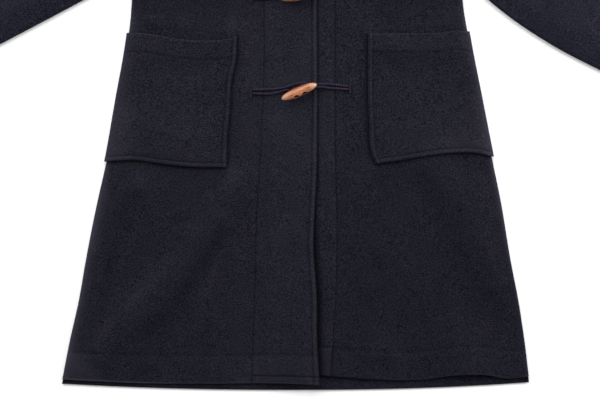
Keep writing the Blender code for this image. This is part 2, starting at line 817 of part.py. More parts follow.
def toggle_radius(along):
    """Radius of a toggle at a distance along from its middle."""
    share = min(abs(along) / (TOGGLE_LENGTH / 2.0), 1.0)
    return TOGGLE_RADIUS * (1.0 - share**2.4) ** 0.55


def make_toggle(name, centre, turn, collection, cutters, made_of):
    """Make a turned toggle with its two cord holes, lying along the direction of turn."""
    mesh = bpy.data.meshes.new(name)
    work = bmesh.new()
    ends = []
    for angle in numpy.linspace(0.0, math.pi, 11):
        along = TOGGLE_LENGTH / 2.0 * math.cos(angle)
        ends.append(work.verts.new(Vector((toggle_radius(along), 0.0, along)) * MM))
    for first, last in zip(ends, ends[1:]):
        work.edges.new((first, last))
    work.to_mesh(mesh)
    work.free()
    made = make_object(name, mesh, collection, made_of)
    made.location = to_world(centre)
    made.rotation_euler = (0.0, math.pi / 2.0, math.radians(turn))
    turned = made.modifiers.new("Turned", "SCREW")
    turned.steps = 14
    turned.render_steps = 14
    turned.use_merge_vertices = True
    turned.merge_threshold = 0.00005
    heading = Vector((math.cos(math.radians(turn)), math.sin(math.radians(turn)), 0.0))
    lean = (HOLE_LEAN, 0.0, math.radians(turn))
    flat = (0.0, math.pi / 2.0, math.radians(turn))
    near, far = centre + heading * HOLE_OFFSET, centre - heading * HOLE_OFFSET
    inside = centre + leaning_out(turn) * TUNNEL_OUT
    cuts = (
        ("hole_1", far, lean, HOLE_RADIUS, 4.0 * TOGGLE_RADIUS),
        ("hole_2", near, lean, HOLE_RADIUS, 4.0 * TOGGLE_RADIUS),
        ("tunnel", inside, flat, TUNNEL_RADIUS, 2.0 * HOLE_OFFSET - 1.0),
    )
    for cut, place, rotation, radius, depth in cuts:
        drill = make_drill(f"{name}_{cut}", place, rotation, radius, depth, cutters)
        opening = made.modifiers.new(cut, "BOOLEAN")
        opening.operation = "DIFFERENCE"
        opening.object = drill
    return made


def leaning_out(turn):
    """Direction in which the holes of a toggle that is turned in plan come out on top."""
    turn = math.radians(turn)
    upwards = Vector((-math.sin(turn), math.cos(turn), 0.0))
    return Vector((0.0, 0.0, math.cos(HOLE_LEAN))) - upwards * math.sin(HOLE_LEAN)


def make_drill(name, place, rotation, radius, depth, cutters):
    """Make a round cutter along its own Z axis."""
    mesh = bpy.data.meshes.new(name)
    work = bmesh.new()
    size = {"radius1": radius * MM, "radius2": radius * MM, "depth": depth * MM}
    bmesh.ops.create_cone(work, cap_ends=True, segments=DRILL_SIDES, **size)
    work.to_mesh(mesh)
    work.free()
    drill = make_object(name, mesh, cutters, None)
    drill.location = to_world(place)
    drill.rotation_euler = rotation
    drill.hide_render = True
    drill.display_type = "WIRE"
    return drill


def cloth_under(x, height):
    """Outer face of whichever front shows at a place."""
    side = "right" if x < read(FRONT_EDGE, "x", height) else "left"
    return front_height(side, x, height)


def on_cloth(x, height, lift=0.0):
    """Centre of a cord that lies on the fronts, lifted where it crosses something."""
    return Vector((x, height, cloth_under(x, height) + CORD_GAP + CORD_RADIUS + lift))


def make_fastening(number, collection, cutters, cord_material, wood_material):
    """Make one toggle with its loop, its strap and the bars that hold them."""
    base = TOGGLE_HEIGHT + (number - 1) * TOGGLE_SPACING
    turn = TOGGLE_TURNS[number - 1]
    heading = Vector((math.cos(math.radians(turn)), math.sin(math.radians(turn)), 0.0))
    out = leaning_out(turn)
    rest = cloth_under(TOGGLE_X, base)
    centre = Vector((TOGGLE_X, base, rest + TOGGLE_CLEARANCE))
    make_toggle(f"toggle_{number}", centre, turn, collection, cutters, wood_material)

    strap_x = STRAP_BAR[0] - BAR_WIDTH / 2.0 - SEAM_GAP
    strap_y = base + STRAP_BAR[1]
    near = centre + heading * HOLE_OFFSET
    far = centre - heading * HOLE_OFFSET
    near_foot = near - out * (TOGGLE_RADIUS + FOOT_DROP)
    far_foot = far - out * (TOGGLE_RADIUS + FOOT_DROP)
    route = [on_cloth(strap_x, base + STRAP_ENDS[0])]
    route += [on_cloth(row.x, base + row.up, row.lift) for row in STRAP_UPPER]
    route += [on_cloth(STRAP_NEAR_X, near_foot.y + STRAP_NEAR[0], CORD_GAP)]
    route += [on_cloth(near_foot.x + FOOT_RUN, near_foot.y, CORD_GAP)]
    route += [near_foot, near, near + out * TUNNEL_OUT, centre + out * TUNNEL_OUT]
    route += [far + out * TUNNEL_OUT, far, far_foot]
    route += [on_cloth(far_foot.x + FOOT_RUN, near_foot.y - STRAND_GAP, CORD_GAP)]
    route += [on_cloth(STRAP_NEAR_X, near_foot.y + STRAP_NEAR[1], CORD_GAP)]
    route += [on_cloth(row.x, base + row.up, row.lift) for row in STRAP_LOWER]
    route += [on_cloth(strap_x, base + STRAP_ENDS[1])]
    make_cord(f"strap_{number}", route, collection, cord_material)

    loop_x = LOOP_BAR[0] + BAR_WIDTH / 2.0 + SEAM_GAP
    loop_y = base + LOOP_BAR[1]
    route = [on_cloth(loop_x, base + LOOP_ENDS[0])]
    route += [on_cloth(row.x, base + row.up, row.lift) for row in LOOP_ROUTE]
    route += [on_cloth(loop_x, base + LOOP_ENDS[1])]
    make_cord(f"loop_{number}", route, collection, cord_material)

    bars = (("loop_bar", LOOP_BAR[0], loop_y), ("strap_bar", STRAP_BAR[0], strap_y))
    for name, x, height in bars:
        across = (x - BAR_WIDTH / 2.0, x + BAR_WIDTH / 2.0)
        ends = (height - BAR_LENGTH / 2.0, height, height + BAR_LENGTH / 2.0)
        under = max(cloth_under(side, end) for side in across for end in ends)
        place = Vector((x, height, under + CORD_GAP + BAR_THICKNESS / 2.0))
        make_bar(f"{name}_{number}", place, collection, cord_material)


def main():
    """Build the coat."""
    for old in list(bpy.data.objects):
        bpy.data.objects.remove(old, do_unlink=True)
    coat = bpy.data.collections.new(OBJECT_NAME)
    cutters = bpy.data.collections.new("cutters")
    bpy.context.scene.collection.children.link(coat)
    bpy.context.scene.collection.children.link(cutters)
    cord_material = make_material("cord", CORD_COLOUR, 0.7)
    wood_material = make_material("toggle wood", WOOD, 0.35)

    def wool(name):
        return make_material(f"wool {name}", NAVY, 0.9)

    make_cloth("back", back_rows(), coat, wool("back"), flip=True)
    for side, sleeve_table in (("right", RIGHT_SLEEVE), ("left", LEFT_SLEEVE)):
        left = side == "left"
        make_cloth(f"front_{side}", front_rows(side), coat, wool(f"front_{side}"), flip=left)
        rows = sleeve_rows(side, sleeve_table)
        make_cloth(f"sleeve_{side}", rows, coat, wool(f"sleeve_{side}"), flip=not left, tube=True)
        make_cloth(f"hood_{side}", hood_rows(side), coat, wool(f"hood_{side}"), flip=left, even=False)
        make_cloth(f"pocket_{side}", pocket_rows(side), coat, wool(f"pocket_{side}"), flip=left)
    for number in range(1, TOGGLE_COUNT + 1):
        make_fastening(number, coat, cutters, cord_material, wood_material)


main()
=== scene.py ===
"""Duffle coat laid flat, dressed over its solids: napped navy wool, topstitching, cords and wooden toggles.

The coat lies on its back with +Y towards the hood and the wearer's right at -X. Sizes in this file are
millimetres, and heights up the coat are measured from the lowest point of the back hem. The meshes are
in metres, in the frame of the solids.
"""

import logging
import math
from dataclasses import dataclass, field, replace
from enum import Enum
from typing import Any, Callable, Iterable, Sequence

import bmesh
import bpy
import numpy as np
from mathutils import Matrix, Vector

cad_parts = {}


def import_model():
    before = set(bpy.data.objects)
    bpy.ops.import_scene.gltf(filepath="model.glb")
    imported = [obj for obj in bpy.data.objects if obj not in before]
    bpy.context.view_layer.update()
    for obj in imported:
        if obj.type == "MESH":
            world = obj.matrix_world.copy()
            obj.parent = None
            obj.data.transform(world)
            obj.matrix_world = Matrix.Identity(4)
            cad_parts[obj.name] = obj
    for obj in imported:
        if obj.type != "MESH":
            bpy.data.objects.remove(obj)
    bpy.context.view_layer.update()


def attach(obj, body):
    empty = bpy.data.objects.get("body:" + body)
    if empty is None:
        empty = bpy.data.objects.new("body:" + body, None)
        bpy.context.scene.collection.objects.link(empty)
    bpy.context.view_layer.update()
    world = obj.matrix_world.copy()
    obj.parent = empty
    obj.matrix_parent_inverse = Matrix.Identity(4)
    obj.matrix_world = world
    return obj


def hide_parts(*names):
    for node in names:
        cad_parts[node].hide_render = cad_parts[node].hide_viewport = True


LOG = logging.getLogger("duffle_coat")
Array = np.ndarray
Place = tuple[float, float]  # across and up, or another pair of sizes
Span = tuple[float, float]  # where a change starts and where it is complete
Run = tuple[float, float, int]  # first, last and count of evenly spaced numbers
Point = tuple[float, float, float]
Colour = tuple[float, float, float, float]

MM = 0.001
ORIGIN_HEIGHT = 400.0  # of the frame's origin above the hem

WALL = 2.5  # thickness of the cloth
SEAM_GAP = 0.3
LAYER = WALL + 0.5  # height that one more layer of cloth adds
ROLL = 4.2  # outer radius of a side that rolls over from back to front
ROLL_TOP = 2.0 * ROLL + SEAM_GAP
REST_TOP = 6.0  # height of a front's outer face where it rests on the back
LOWEST_TOP = 5.4  # the same in the deepest trough

HEM_FADE = 150.0  # height up to which cross lines follow the hem
ROLL_END = 467.0  # the side is fully rolled below this height
ARMPIT = 540.0
YOKE_START = 600.0  # cross lines start to follow the top edge here
SHOULDER_TIP = 808.0
SHOULDER_HALF = 196.5
NECK_POINT = 862.0
NECK_HALF = 88.0


class Side(Enum):
    """A side of the coat, as its wearer has it."""

    RIGHT = "right"
    LEFT = "left"

    @property
    def sign(self) -> float:
        """Direction of the side in plan."""
        return -1.0 if self is Side.RIGHT else 1.0


# Curves and reliefs


def ease(value: Array | float) -> Array:
    """Smooth step from 0 to 1."""
    value = np.clip(value, 0.0, 1.0)
    return value * value * (3.0 - 2.0 * value)


def ramp(value: Array | float, start: float | Array, end: float) -> Array:
    """Smooth step from 0 at a start to 1 at an end, which may lie before the start."""
    return ease((value - start) / (end - start))


def bell(distance: Array | float, width: float) -> Array:
    """Smooth bump of height 1 that is about twice its width across."""
    return np.exp(-((np.asarray(distance, dtype=float) / width) ** 2))


def mound(distance: Array, middle: float, width: float, rise: float | Array) -> Array:
    """Smooth bump, or a dip where its rise is negative, with its middle at a distance."""
    return rise * bell(distance - middle, width)


def above(value: Array, floor: float, softness: float = 0.25) -> Array:
    """Keep a height above a floor, with a soft bend where it meets it."""
    depth = value - floor
    return floor + 0.5 * (depth + np.sqrt(depth * depth + softness * softness))


def rounded(distance: Array, radius: float, drop: float) -> Array:
    """Fall of a rounded edge, from 0 at a radius from the edge to minus drop at the edge."""
    share = np.clip(1.0 - np.asarray(distance, dtype=float) / radius, 0.0, 1.0)
    return -drop * (1.0 - np.sqrt(1.0 - share * share))


def painted_edge_light(distance: Array, reach: float, amount: float) -> Array:
    """How much painted sheen lies at a distance from a rolled side."""
    return amount * np.exp(-np.maximum(np.asarray(distance, dtype=float), 0.0) / reach)


def welt(distance: Array, width: float, rise: float) -> Array:
    """Puff of the cloth between an edge and the row of stitches at a width from it."""
    share = (np.asarray(distance, dtype=float) - width / 2.0) / (width / 2.0)
    return rise * np.clip(1.0 - share * share, 0.0, 1.0)


def spaced(*runs: Run) -> Array:
    """Join runs of evenly spaced numbers, which may share their ends, into one."""
    return np.unique(np.concatenate([np.linspace(*run) for run in runs]))


@dataclass(frozen=True)
class Profile:
    """Smooth curve through a short table of places and values."""

    rows: tuple[Place, ...]

    def __call__(self, place: Array | float) -> Array:
        """Read the curve.

        Args:
            place: where to read it; beyond its ends the end values hold.

        Returns:
            The values there.
        """
        places, values = np.array(self.rows, dtype=float).T
        slopes = np.gradient(values, places)
        at = np.clip(place, places[0], places[-1])
        index = np.clip(np.searchsorted(places, at, side="right") - 1, 0, len(places) - 2)
        span = places[index + 1] - places[index]
        t = (at - places[index]) / span
        rise = values[index + 1] - values[index]
        start_bend = slopes[index] * span - rise
        end_bend = rise - slopes[index + 1] * span
        return values[index] + t * rise + t * (1.0 - t) * ((1.0 - t) * start_bend + t * end_bend)


@dataclass(frozen=True)
class Change:
    """Value that goes smoothly from one level to another over a span."""

    span: Span
    levels: Span

    def __call__(self, place: Array) -> Array:
        """Read the value at places."""
        first, last = self.levels
        return first + (last - first) * ramp(place, *self.span)


@dataclass(frozen=True)
class Groove:
    """Line where a seam or a row of stitches draws the cloth in, with painted shade along it."""

    depth: float
    width: float
    dark: float
    dark_width: float

    def rise(self, distance: Array) -> Array:
        """Rise of the cloth at distances from the line, which is negative."""
        return -self.depth * bell(distance, self.width)

    def shade(self, distance: Array) -> Array:
        """Painted shade of the groove at distances from the line."""
        return self.dark * bell(distance, self.dark_width)


@dataclass(frozen=True)
class Crease:
    """Soft ridge, or trough where its rise is negative, along a bent line in plan."""

    start: Place
    middle: Place
    end: Place
    width: float
    rise: float
    steps: int = 9

    def line(self) -> Array:
        """Points along the crease, through its middle."""
        start, middle, end = (np.array(place) for place in (self.start, self.middle, self.end))
        control = 2.0 * middle - (start + end) / 2.0
        t = np.linspace(0.0, 1.0, self.steps)[:, None]
        return (1.0 - t) ** 2 * start + 2.0 * t * (1.0 - t) * control + t * t * end

    def height(self, x: Array, height: Array) -> Array:
        """Find the rise of the cloth.

        Args:
            x: places across.
            height: places up the coat.

        Returns:
            The rise there, by the distance from the nearest part of the line.
        """
        line = self.line()
        best = np.full(np.broadcast(x, height).shape, np.inf)
        for first, last in zip(line, line[1:]):
            run = last - first
            along = ((x - first[0]) * run[0] + (height - first[1]) * run[1]) / float(run @ run)
            along = np.clip(along, 0.0, 1.0)
            gap = np.hypot(x - first[0] - along * run[0], height - first[1] - along * run[1])
            best = np.minimum(best, gap)
        return self.rise * bell(best, self.width)


def crease_rows(*rows: tuple[float, ...]) -> tuple[Crease, ...]:
    """Make creases from rows of start, middle and end, each across and up, then width and rise."""
    return tuple(Crease(row[:2], row[2:4], row[4:6], *row[6:]) for row in rows)


def by_side(right: Any, left: Any) -> Any:
    """Field with a value for each side."""
    return field(default_factory=lambda: {Side.RIGHT: right, Side.LEFT: left})


def total_rise(parts: Iterable[Crease], x: Array, height: Array) -> Array:
    """Sum of the rises of some creases at places in plan."""
    return sum((crease.height(x, height) for crease in parts), np.zeros(np.broadcast(x, height).shape))


@dataclass(frozen=True)
class Ease:
    """Slight unevenness of cloth that has been worn: a few crossing waves of set phases."""

    waves: tuple[Point, ...] = (
        (97, 24, 0.4),
        (71, 112, 2.1),
        (53, 67, 4.4),
        (41, 151, 1.2),
        (29, 8, 5.3),
    )
    rise: float = 0.3
    bend: float = 0.6
    bend_length: float = 2.3

    def height(self, x: Array, height: Array, phase: float) -> Array:
        """Find the rise of a piece of cloth.

        Args:
            x: places across.
            height: places up the coat.
            phase: the piece's own phase.

        Returns:
            The rise there.
        """
        total = np.zeros(np.broadcast(x, height).shape)
        longest = self.waves[0][0]
        for length, angle, start in self.waves:
            turn = math.radians(angle)
            along = x * math.cos(turn) + height * math.sin(turn)
            across = height * math.cos(turn) - x * math.sin(turn)
            bend = np.sin(across * 2.0 * math.pi / (self.bend_length * length) + start + phase)
            wave = np.sin(along * 2.0 * math.pi / length + start * 3.0 + phase + self.bend * bend)
            total += self.rise * length / longest * wave
        return total


EASE = Ease()


# Meshes


def to_world(points: Array) -> Array:
    """Place points given in millimetres and heights above the hem."""
    return (np.asarray(points, dtype=float) - (0.0, ORIGIN_HEIGHT, 0.0)) * MM


def world_point(place: Vector) -> Vector:
    """Place one point given in millimetres and a height above the hem."""
    return (place - Vector((0.0, ORIGIN_HEIGHT, 0.0))) * MM


def linked(name: str, data: bpy.types.ID) -> bpy.types.Object:
    """Make an object of a mesh, a light or a camera and link it to the scene."""
    made = bpy.data.objects.new(name, data)
    bpy.context.scene.collection.objects.link(made)
    return made


def mesh_of(name: str, work: bmesh.types.BMesh) -> bpy.types.Mesh:
    """Turn a finished BMesh into a mesh."""
    mesh = bpy.data.meshes.new(name)
    work.to_mesh(mesh)
    work.free()
    return mesh


@dataclass
class Cloth:
    """A wall of cloth on a grid of points of its outer face.

    Args:
        name: name of the piece.
        rows: points in millimetres, rows by columns by 3.
        seams: painted shade at each point, in grooves and as painted shadow beside edges, rows by columns.
        nap: painted light above 0 and painted shade below 0, rows by columns.
        flip: turn the faces the other way.
        tube: join the last column to the first.
        even: keep the full thickness round bends.
    """

    name: str
    rows: Array
    seams: Array
    nap: Array
    flip: bool = False
    tube: bool = False
    even: bool = True

    def build(self, material: bpy.types.Material) -> bpy.types.Object:
        """Make the piece.

        Args:
            material: finish of the cloth.

        Returns:
            The new object, a closed mesh.
        """
        count, columns, _ = self.rows.shape
        number = np.arange(count * columns).reshape(count, columns)
        following = np.roll(number, -1, axis=1)
        last = columns if self.tube else columns - 1
        corners = np.stack(
            [number[:-1, :last], following[:-1, :last], following[1:, :last], number[1:, :last]], axis=-1
        ).reshape(-1, 4)
        if self.flip:
            corners = corners[:, ::-1]
        mesh = bpy.data.meshes.new(self.name)
        mesh.from_pydata(to_world(self.rows.reshape(-1, 3)).tolist(), [], corners.tolist())
        # The seam attribute carries painted shade and shadow, the nap attribute painted light and shade
        for title, values in (("seam", self.seams), ("nap", self.nap)):
            made = mesh.attributes.new(title, "FLOAT", "POINT")
            made.data.foreach_set("value", values.astype(np.float32).ravel())
        mesh.shade_smooth()
        mesh.materials.append(material)
        made = linked(self.name, mesh)
        wall = made.modifiers.new("Wall", "SOLIDIFY")
        wall.thickness = WALL * MM
        wall.offset = -1.0
        wall.use_even_offset = self.even
        wall.use_quality_normals = True
        return applied(made)


def applied(made: bpy.types.Object) -> bpy.types.Object:
    """Turn an object with modifiers into one with a plain mesh.

    Args:
        made: the object.

    Returns:
        The same object, with its evaluated mesh and no modifiers.
    """
    graph = bpy.context.evaluated_depsgraph_get()
    graph.update()
    mesh = bpy.data.meshes.new_from_object(made.evaluated_get(graph), depsgraph=graph)
    mesh.name = made.name
    made.modifiers.clear()
    made.data = mesh
    mesh.shade_smooth()
    return made


def line_object(name: str, lines: Sequence[Array]) -> bpy.types.Object:
    """Make an object of loose lines.

    Args:
        name: its name.
        lines: points of each line, in millimetres.

    Returns:
        The new object, whose mesh has edges alone.
    """
    points, edges = [], []
    for line in lines:
        start = len(points)
        points += to_world(line).tolist()
        edges += [(start + step, start + step + 1) for step in range(len(line) - 1)]
    mesh = bpy.data.meshes.new(name)
    mesh.from_pydata(points, edges, [])
    return linked(name, mesh)


def smooth_route(points: Sequence[Vector], per_span: int = 8) -> Array:
    """Follow a smooth curve through a route's own points.

    Args:
        points: the route's points.
        per_span: steps from one of them to the next.

    Returns:
        Points along the curve.
    """
    padded = [points[0] * 2.0 - points[1], *points, points[-1] * 2.0 - points[-2]]
    route = []
    for index in range(1, len(padded) - 2):
        before, first, last, after = padded[index - 1 : index + 3]
        for step in range(per_span):
            t = step / per_span
            bend = (2.0 * before - 5.0 * first + 4.0 * last - after) * t * t
            twist = (3.0 * first - before - 3.0 * last + after) * t * t * t
            route.append((2.0 * first + (last - before) * t + bend + twist) / 2.0)
    route.append(points[-1])
    return np.array([tuple(point) for point in route])


# Node trees


def operator(operation: str, reflected: bool = False) -> Callable[["Value", Any], "Value"]:
    """Make an operator of a Value that adds a Math node."""

    def apply(value: "Value", other: Any) -> "Value":
        """Apply the operator."""
        first, second = (other, value) if reflected else (value, other)
        return value.tree.math(operation, first, second)

    return apply


class Value:
    """Output of a node; an expression on it adds the Math nodes that it needs."""

    def __init__(self, tree: "Tree", socket: bpy.types.NodeSocket) -> None:
        """Hold a socket of a tree."""
        self.tree = tree
        self.socket = socket

    __add__ = __radd__ = operator("ADD")
    __sub__ = operator("SUBTRACT")
    __rsub__ = operator("SUBTRACT", reflected=True)
    __mul__ = __rmul__ = operator("MULTIPLY")
    __truediv__ = operator("DIVIDE")
    __rtruediv__ = operator("DIVIDE", reflected=True)
    __pow__ = operator("POWER")


class Tree:
    """Makes the nodes of one shader or Geometry Nodes tree."""

    def __init__(self, tree: bpy.types.NodeTree) -> None:
        """Work on a node tree."""
        self.tree = tree

    @staticmethod
    def socket(sockets: Any, key: str | int) -> bpy.types.NodeSocket:
        """Find a socket by its number, identifier or name."""
        if isinstance(key, int):
            return sockets[key]
        for socket in sockets:
            if socket.identifier == key:
                return socket
        return sockets[key]

    def feed(self, node: bpy.types.Node, inputs: dict) -> None:
        """Set or link a node's inputs, by number, identifier or name."""
        for key, value in inputs.items():
            target = self.socket(node.inputs, key)
            if isinstance(value, Value):
                self.tree.links.new(value.socket, target)
            else:
                target.default_value = value

    def node(self, kind: str, settings: dict | None = None, inputs: dict | None = None) -> bpy.types.Node:
        """Make a node.

        Args:
            kind: the node's type.
            settings: its properties, which are set first.
            inputs: values or links by the socket's number, identifier or name.

        Returns:
            The new node.
        """
        made = self.tree.nodes.new(kind)
        for name, value in (settings or {}).items():
            setattr(made, name, value)
        self.feed(made, inputs or {})
        return made

    def out(
        self, kind: str, settings: dict | None = None, inputs: dict | None = None, key: str | int = 0
    ) -> Value:
        """Make a node and return one of its outputs."""
        return Value(self, self.socket(self.node(kind, settings, inputs).outputs, key))

    def math(self, operation: str, first: Any, second: Any = 0.0) -> Value:
        """Make a Math node."""
        return self.out("ShaderNodeMath", {"operation": operation}, {0: first, 1: second})

    def clamp(self, value: Value, low: float = 0.0, high: float = 1.0) -> Value:
        """Limit a value."""
        return self.math("MINIMUM", self.math("MAXIMUM", value, low), high)

    def mix(self, share: Any, first: Any, second: Any) -> Value:
        """Mix two colours by the share of the second."""
        inputs = {"Factor_Float": share, "A_Color": first, "B_Color": second}
        settings = {"data_type": "RGBA", "clamp_factor": True}
        return self.out("ShaderNodeMix", settings, inputs, "Result_Color")

    def noise(self, place: Value, scale: float, detail: float, roughness: float) -> Value:
        """Noise about 0, from roughly -0.5 to 0.5."""
        inputs = {"Vector": place, "Scale": scale, "Detail": detail, "Roughness": roughness}
        return self.out("ShaderNodeTexNoise", None, inputs) - 0.5

    def bump(self, height: Value, strength: float, depth: float) -> Value:
        """Normal of a fine relief whose depth is in metres."""
        return self.out("ShaderNodeBump", None, {"Height": height, "Strength": strength, "Distance": depth})

    def attribute(self, name: str) -> Value:
        """Value of one of the mesh's own attributes."""
        return self.out("ShaderNodeAttribute", {"attribute_name": name}, key="Fac")

    def parts(self, vector: Value) -> tuple[Value, Value, Value]:
        """Split a vector."""
        split = self.node("ShaderNodeSeparateXYZ", None, {"Vector": vector})
        return tuple(Value(self, split.outputs[axis]) for axis in "XYZ")


def new_material(name: str) -> tuple[bpy.types.Material, Tree, bpy.types.Node]:
    """Make a material and return it with its tree and its Principled node."""
    material = bpy.data.materials.new(name)
    material.use_nodes = True
    return material, Tree(material.node_tree), material.node_tree.nodes["Principled BSDF"]


# Finishes; each noise has a scale, a detail and a roughness, and each bump a strength and a depth


@dataclass(frozen=True)
class Wool:
    """Felted coat wool: dark ground and lighter nap, with painted light and shade read from attributes."""

    name: str
    offset: Point
    ground: Colour = (0.0024, 0.0024, 0.0041, 1.0)
    nap: Colour = (0.0189, 0.0185, 0.0280, 1.0)
    # Worn is the colour of painted light: sheen on rolled sides, highlights on welts and hems, lit folds
    worn: Colour = (0.0390, 0.0375, 0.0525, 1.0)
    # Colour of painted shade in grooves and of painted shadow beside edges and pockets
    seam: Colour = (0.0010, 0.0010, 0.0020, 1.0)
    fibre: Point = (620.0, 1.0, 0.5)
    cloud: Point = (70.0, 2.0, 0.5)
    patch: Point = (10.0, 2.0, 0.5)
    tone: float = 0.42
    contrasts: Point = (2.1, 0.24, 0.18)
    painted_light_tone: float = 0.9
    painted_light_contrast: float = 0.3
    relief: Place = (0.55, 0.3)
    bump: Place = (0.55, 0.0006)
    roughness: float = 0.95
    gloss: float = 0.025
    sheen: float = 0.033
    sheen_roughness: float = 0.30
    sheen_tint: Colour = (0.62, 0.62, 0.85, 1.0)

    def build(self) -> bpy.types.Material:
        """Make the material, which reads the painted light and shade of the cloth's attributes."""
        material, tree, shader = new_material(self.name)
        place = tree.out("ShaderNodeTexCoord", key="Object")
        moved = tree.out("ShaderNodeMapping", None, {"Vector": place, "Location": self.offset})
        fibre, cloud, patch = (tree.noise(moved, *noise) for noise in (self.fibre, self.cloud, self.patch))
        fine, middling, broad = self.contrasts
        share = tree.clamp(self.tone + fine * fibre + middling * cloud + broad * patch)
        # lie is the nap attribute: painted light above 0, painted shade below 0
        lie = tree.attribute("nap")
        cloth = tree.mix(share, self.ground, self.nap)
        lighter = lie * (self.painted_light_tone + self.painted_light_contrast * fibre)
        cloth = tree.mix(tree.clamp(lighter), cloth, self.worn)
        cloth = tree.mix(tree.clamp(lie * -1.0), cloth, self.ground)
        height = fibre * self.relief[0] + cloud * self.relief[1]
        tree.feed(shader, {
            # Painted shade and shadow from the seam attribute
            "Base Color": tree.mix(tree.clamp(tree.attribute("seam")), cloth, self.seam),
            "Normal": tree.bump(height, *self.bump),
            "Roughness": self.roughness,
            "Specular IOR Level": self.gloss,
            "Sheen Weight": self.sheen,
            "Sheen Roughness": self.sheen_roughness,
            "Sheen Tint": self.sheen_tint,
        })
        return material


@dataclass(frozen=True)
class CordFinish:
    """Twisted dark cord with a slight gloss, and the same thread in bars and stitches."""

    name: str = "twisted cord"
    dark: Colour = (0.0052, 0.0034, 0.0084, 1.0)
    light: Colour = (0.0300, 0.0224, 0.0465, 1.0)
    fibre: Point = (1300.0, 2.0, 0.6)
    patch: Point = (160.0, 1.0, 0.5)
    tone: float = 0.45
    contrasts: Place = (1.4, 0.5)
    bump: Place = (0.5, 0.0003)
    roughness: float = 0.7
    gloss: float = 0.10

    def build(self) -> bpy.types.Material:
        """Make the material."""
        material, tree, shader = new_material(self.name)
        place = tree.out("ShaderNodeTexCoord", key="Object")
        fibre, patch = tree.noise(place, *self.fibre), tree.noise(place, *self.patch)
        share = tree.clamp(self.tone + self.contrasts[0] * fibre + self.contrasts[1] * patch)
        tree.feed(shader, {
            "Base Color": tree.mix(share, self.dark, self.light),
            "Normal": tree.bump(fibre, *self.bump),
            "Roughness": self.roughness,
            "Specular IOR Level": self.gloss,
        })
        return material


@dataclass(frozen=True)
class TurnedForm:
    """Outline of a turned toggle: full in the middle and drawn in to both ends."""

    half_length: float = 24.5
    radius: float = 6.25
    fullness: float = 2.4
    power: float = 0.55

    def reach(self, share: Any) -> Any:
        """Radius, as a share of the full one, at a share of the half length."""
        return (1.0 - share**self.fullness) ** self.power


@dataclass(frozen=True)
class ToggleWood:
    """Varnished pale brown wood, grained along it, with paler ends and painted shade in its holes."""

    name: str
    centre: Point
    turn: float
    form: TurnedForm
    body: Colour = (0.370, 0.140, 0.062, 1.0)
    grain: Colour = (0.090, 0.026, 0.010, 1.0)
    tip: Colour = (0.560, 0.320, 0.200, 1.0)
    # Colour of the painted shade inside the holes
    bore: Colour = (0.0040, 0.0022, 0.0020, 1.0)
    stretch: Point = (0.16, 1.0, 1.0)
    streak: Point = (500.0, 3.0, 0.7)
    broad: Point = (230.0, 2.0, 0.5)
    tone: float = 0.36
    contrasts: Place = (3.4, 1.2)
    tip_start: float = 0.55
    tip_gain: float = 2.4
    tip_unevenness: float = 0.9
    tip_share: float = 0.75
    skin: float = 0.04
    skin_gain: float = 16.0
    bored: float = 0.85
    bored_gain: float = 10.0
    bump: Place = (0.2, 0.0003)
    roughness: Span = (0.32, 0.98)
    coat: float = 0.16
    coat_roughness: float = 0.12
    gloss: float = 0.34

    def build(self) -> bpy.types.Material:
        """Make the material, in the toggle's own directions."""
        material, tree, shader = new_material(self.name)
        place = tree.out("ShaderNodeTexCoord", key="Object")
        shift = {"Vector": place, "Location": self.centre, "Rotation": (0.0, 0.0, self.turn)}
        local = tree.out("ShaderNodeMapping", {"vector_type": "TEXTURE"}, shift)
        stretched = tree.out("ShaderNodeMapping", None, {"Vector": local, "Scale": self.stretch})
        streak, broad = tree.noise(stretched, *self.streak), tree.noise(stretched, *self.broad)
        x, across, up = tree.parts(local)
        along = tree.math("ABSOLUTE", x) / (self.form.half_length * MM)
        end = tree.clamp((along - self.tip_start) * self.tip_gain + self.tip_unevenness * broad)
        share = tree.clamp(self.tone + self.contrasts[0] * streak + self.contrasts[1] * broad)
        wood = tree.mix(share, self.body, self.grain)
        wood = tree.mix(end * self.tip_share, wood, self.tip)
        # Mask of the painted shade inside the holes and tunnel
        surface = self.form.reach(tree.clamp(along, 0.0, 0.99)) * (self.form.radius * MM)
        depth = 1.0 - (across * across + up * up) ** 0.5 / surface
        inside = tree.clamp((depth - self.skin) * self.skin_gain)
        inside = inside * tree.clamp((self.bored - along) * self.bored_gain)
        outer, inner = self.roughness
        tree.feed(shader, {
            "Base Color": tree.mix(inside, wood, self.bore),
            "Normal": tree.bump(streak, *self.bump),
            "Roughness": outer + (inner - outer) * inside,
            "Coat Weight": self.coat * (1.0 - inside),
            "Coat Roughness": self.coat_roughness,
            "Specular IOR Level": self.gloss,
        })
        return material


@dataclass(frozen=True)
class StudioFloor:
    """Plain pale floor."""

    colour: Colour = (0.90, 0.90, 0.905, 1.0)
    roughness: float = 0.9
    gloss: float = 0.1

    def build(self) -> bpy.types.Material:
        """Make the material."""
        material, tree, shader = new_material("pale floor")
        values = {"Base Color": self.colour, "Roughness": self.roughness, "Specular IOR Level": self.gloss}
        tree.feed(shader, values)
        return material


# What repeats along a line


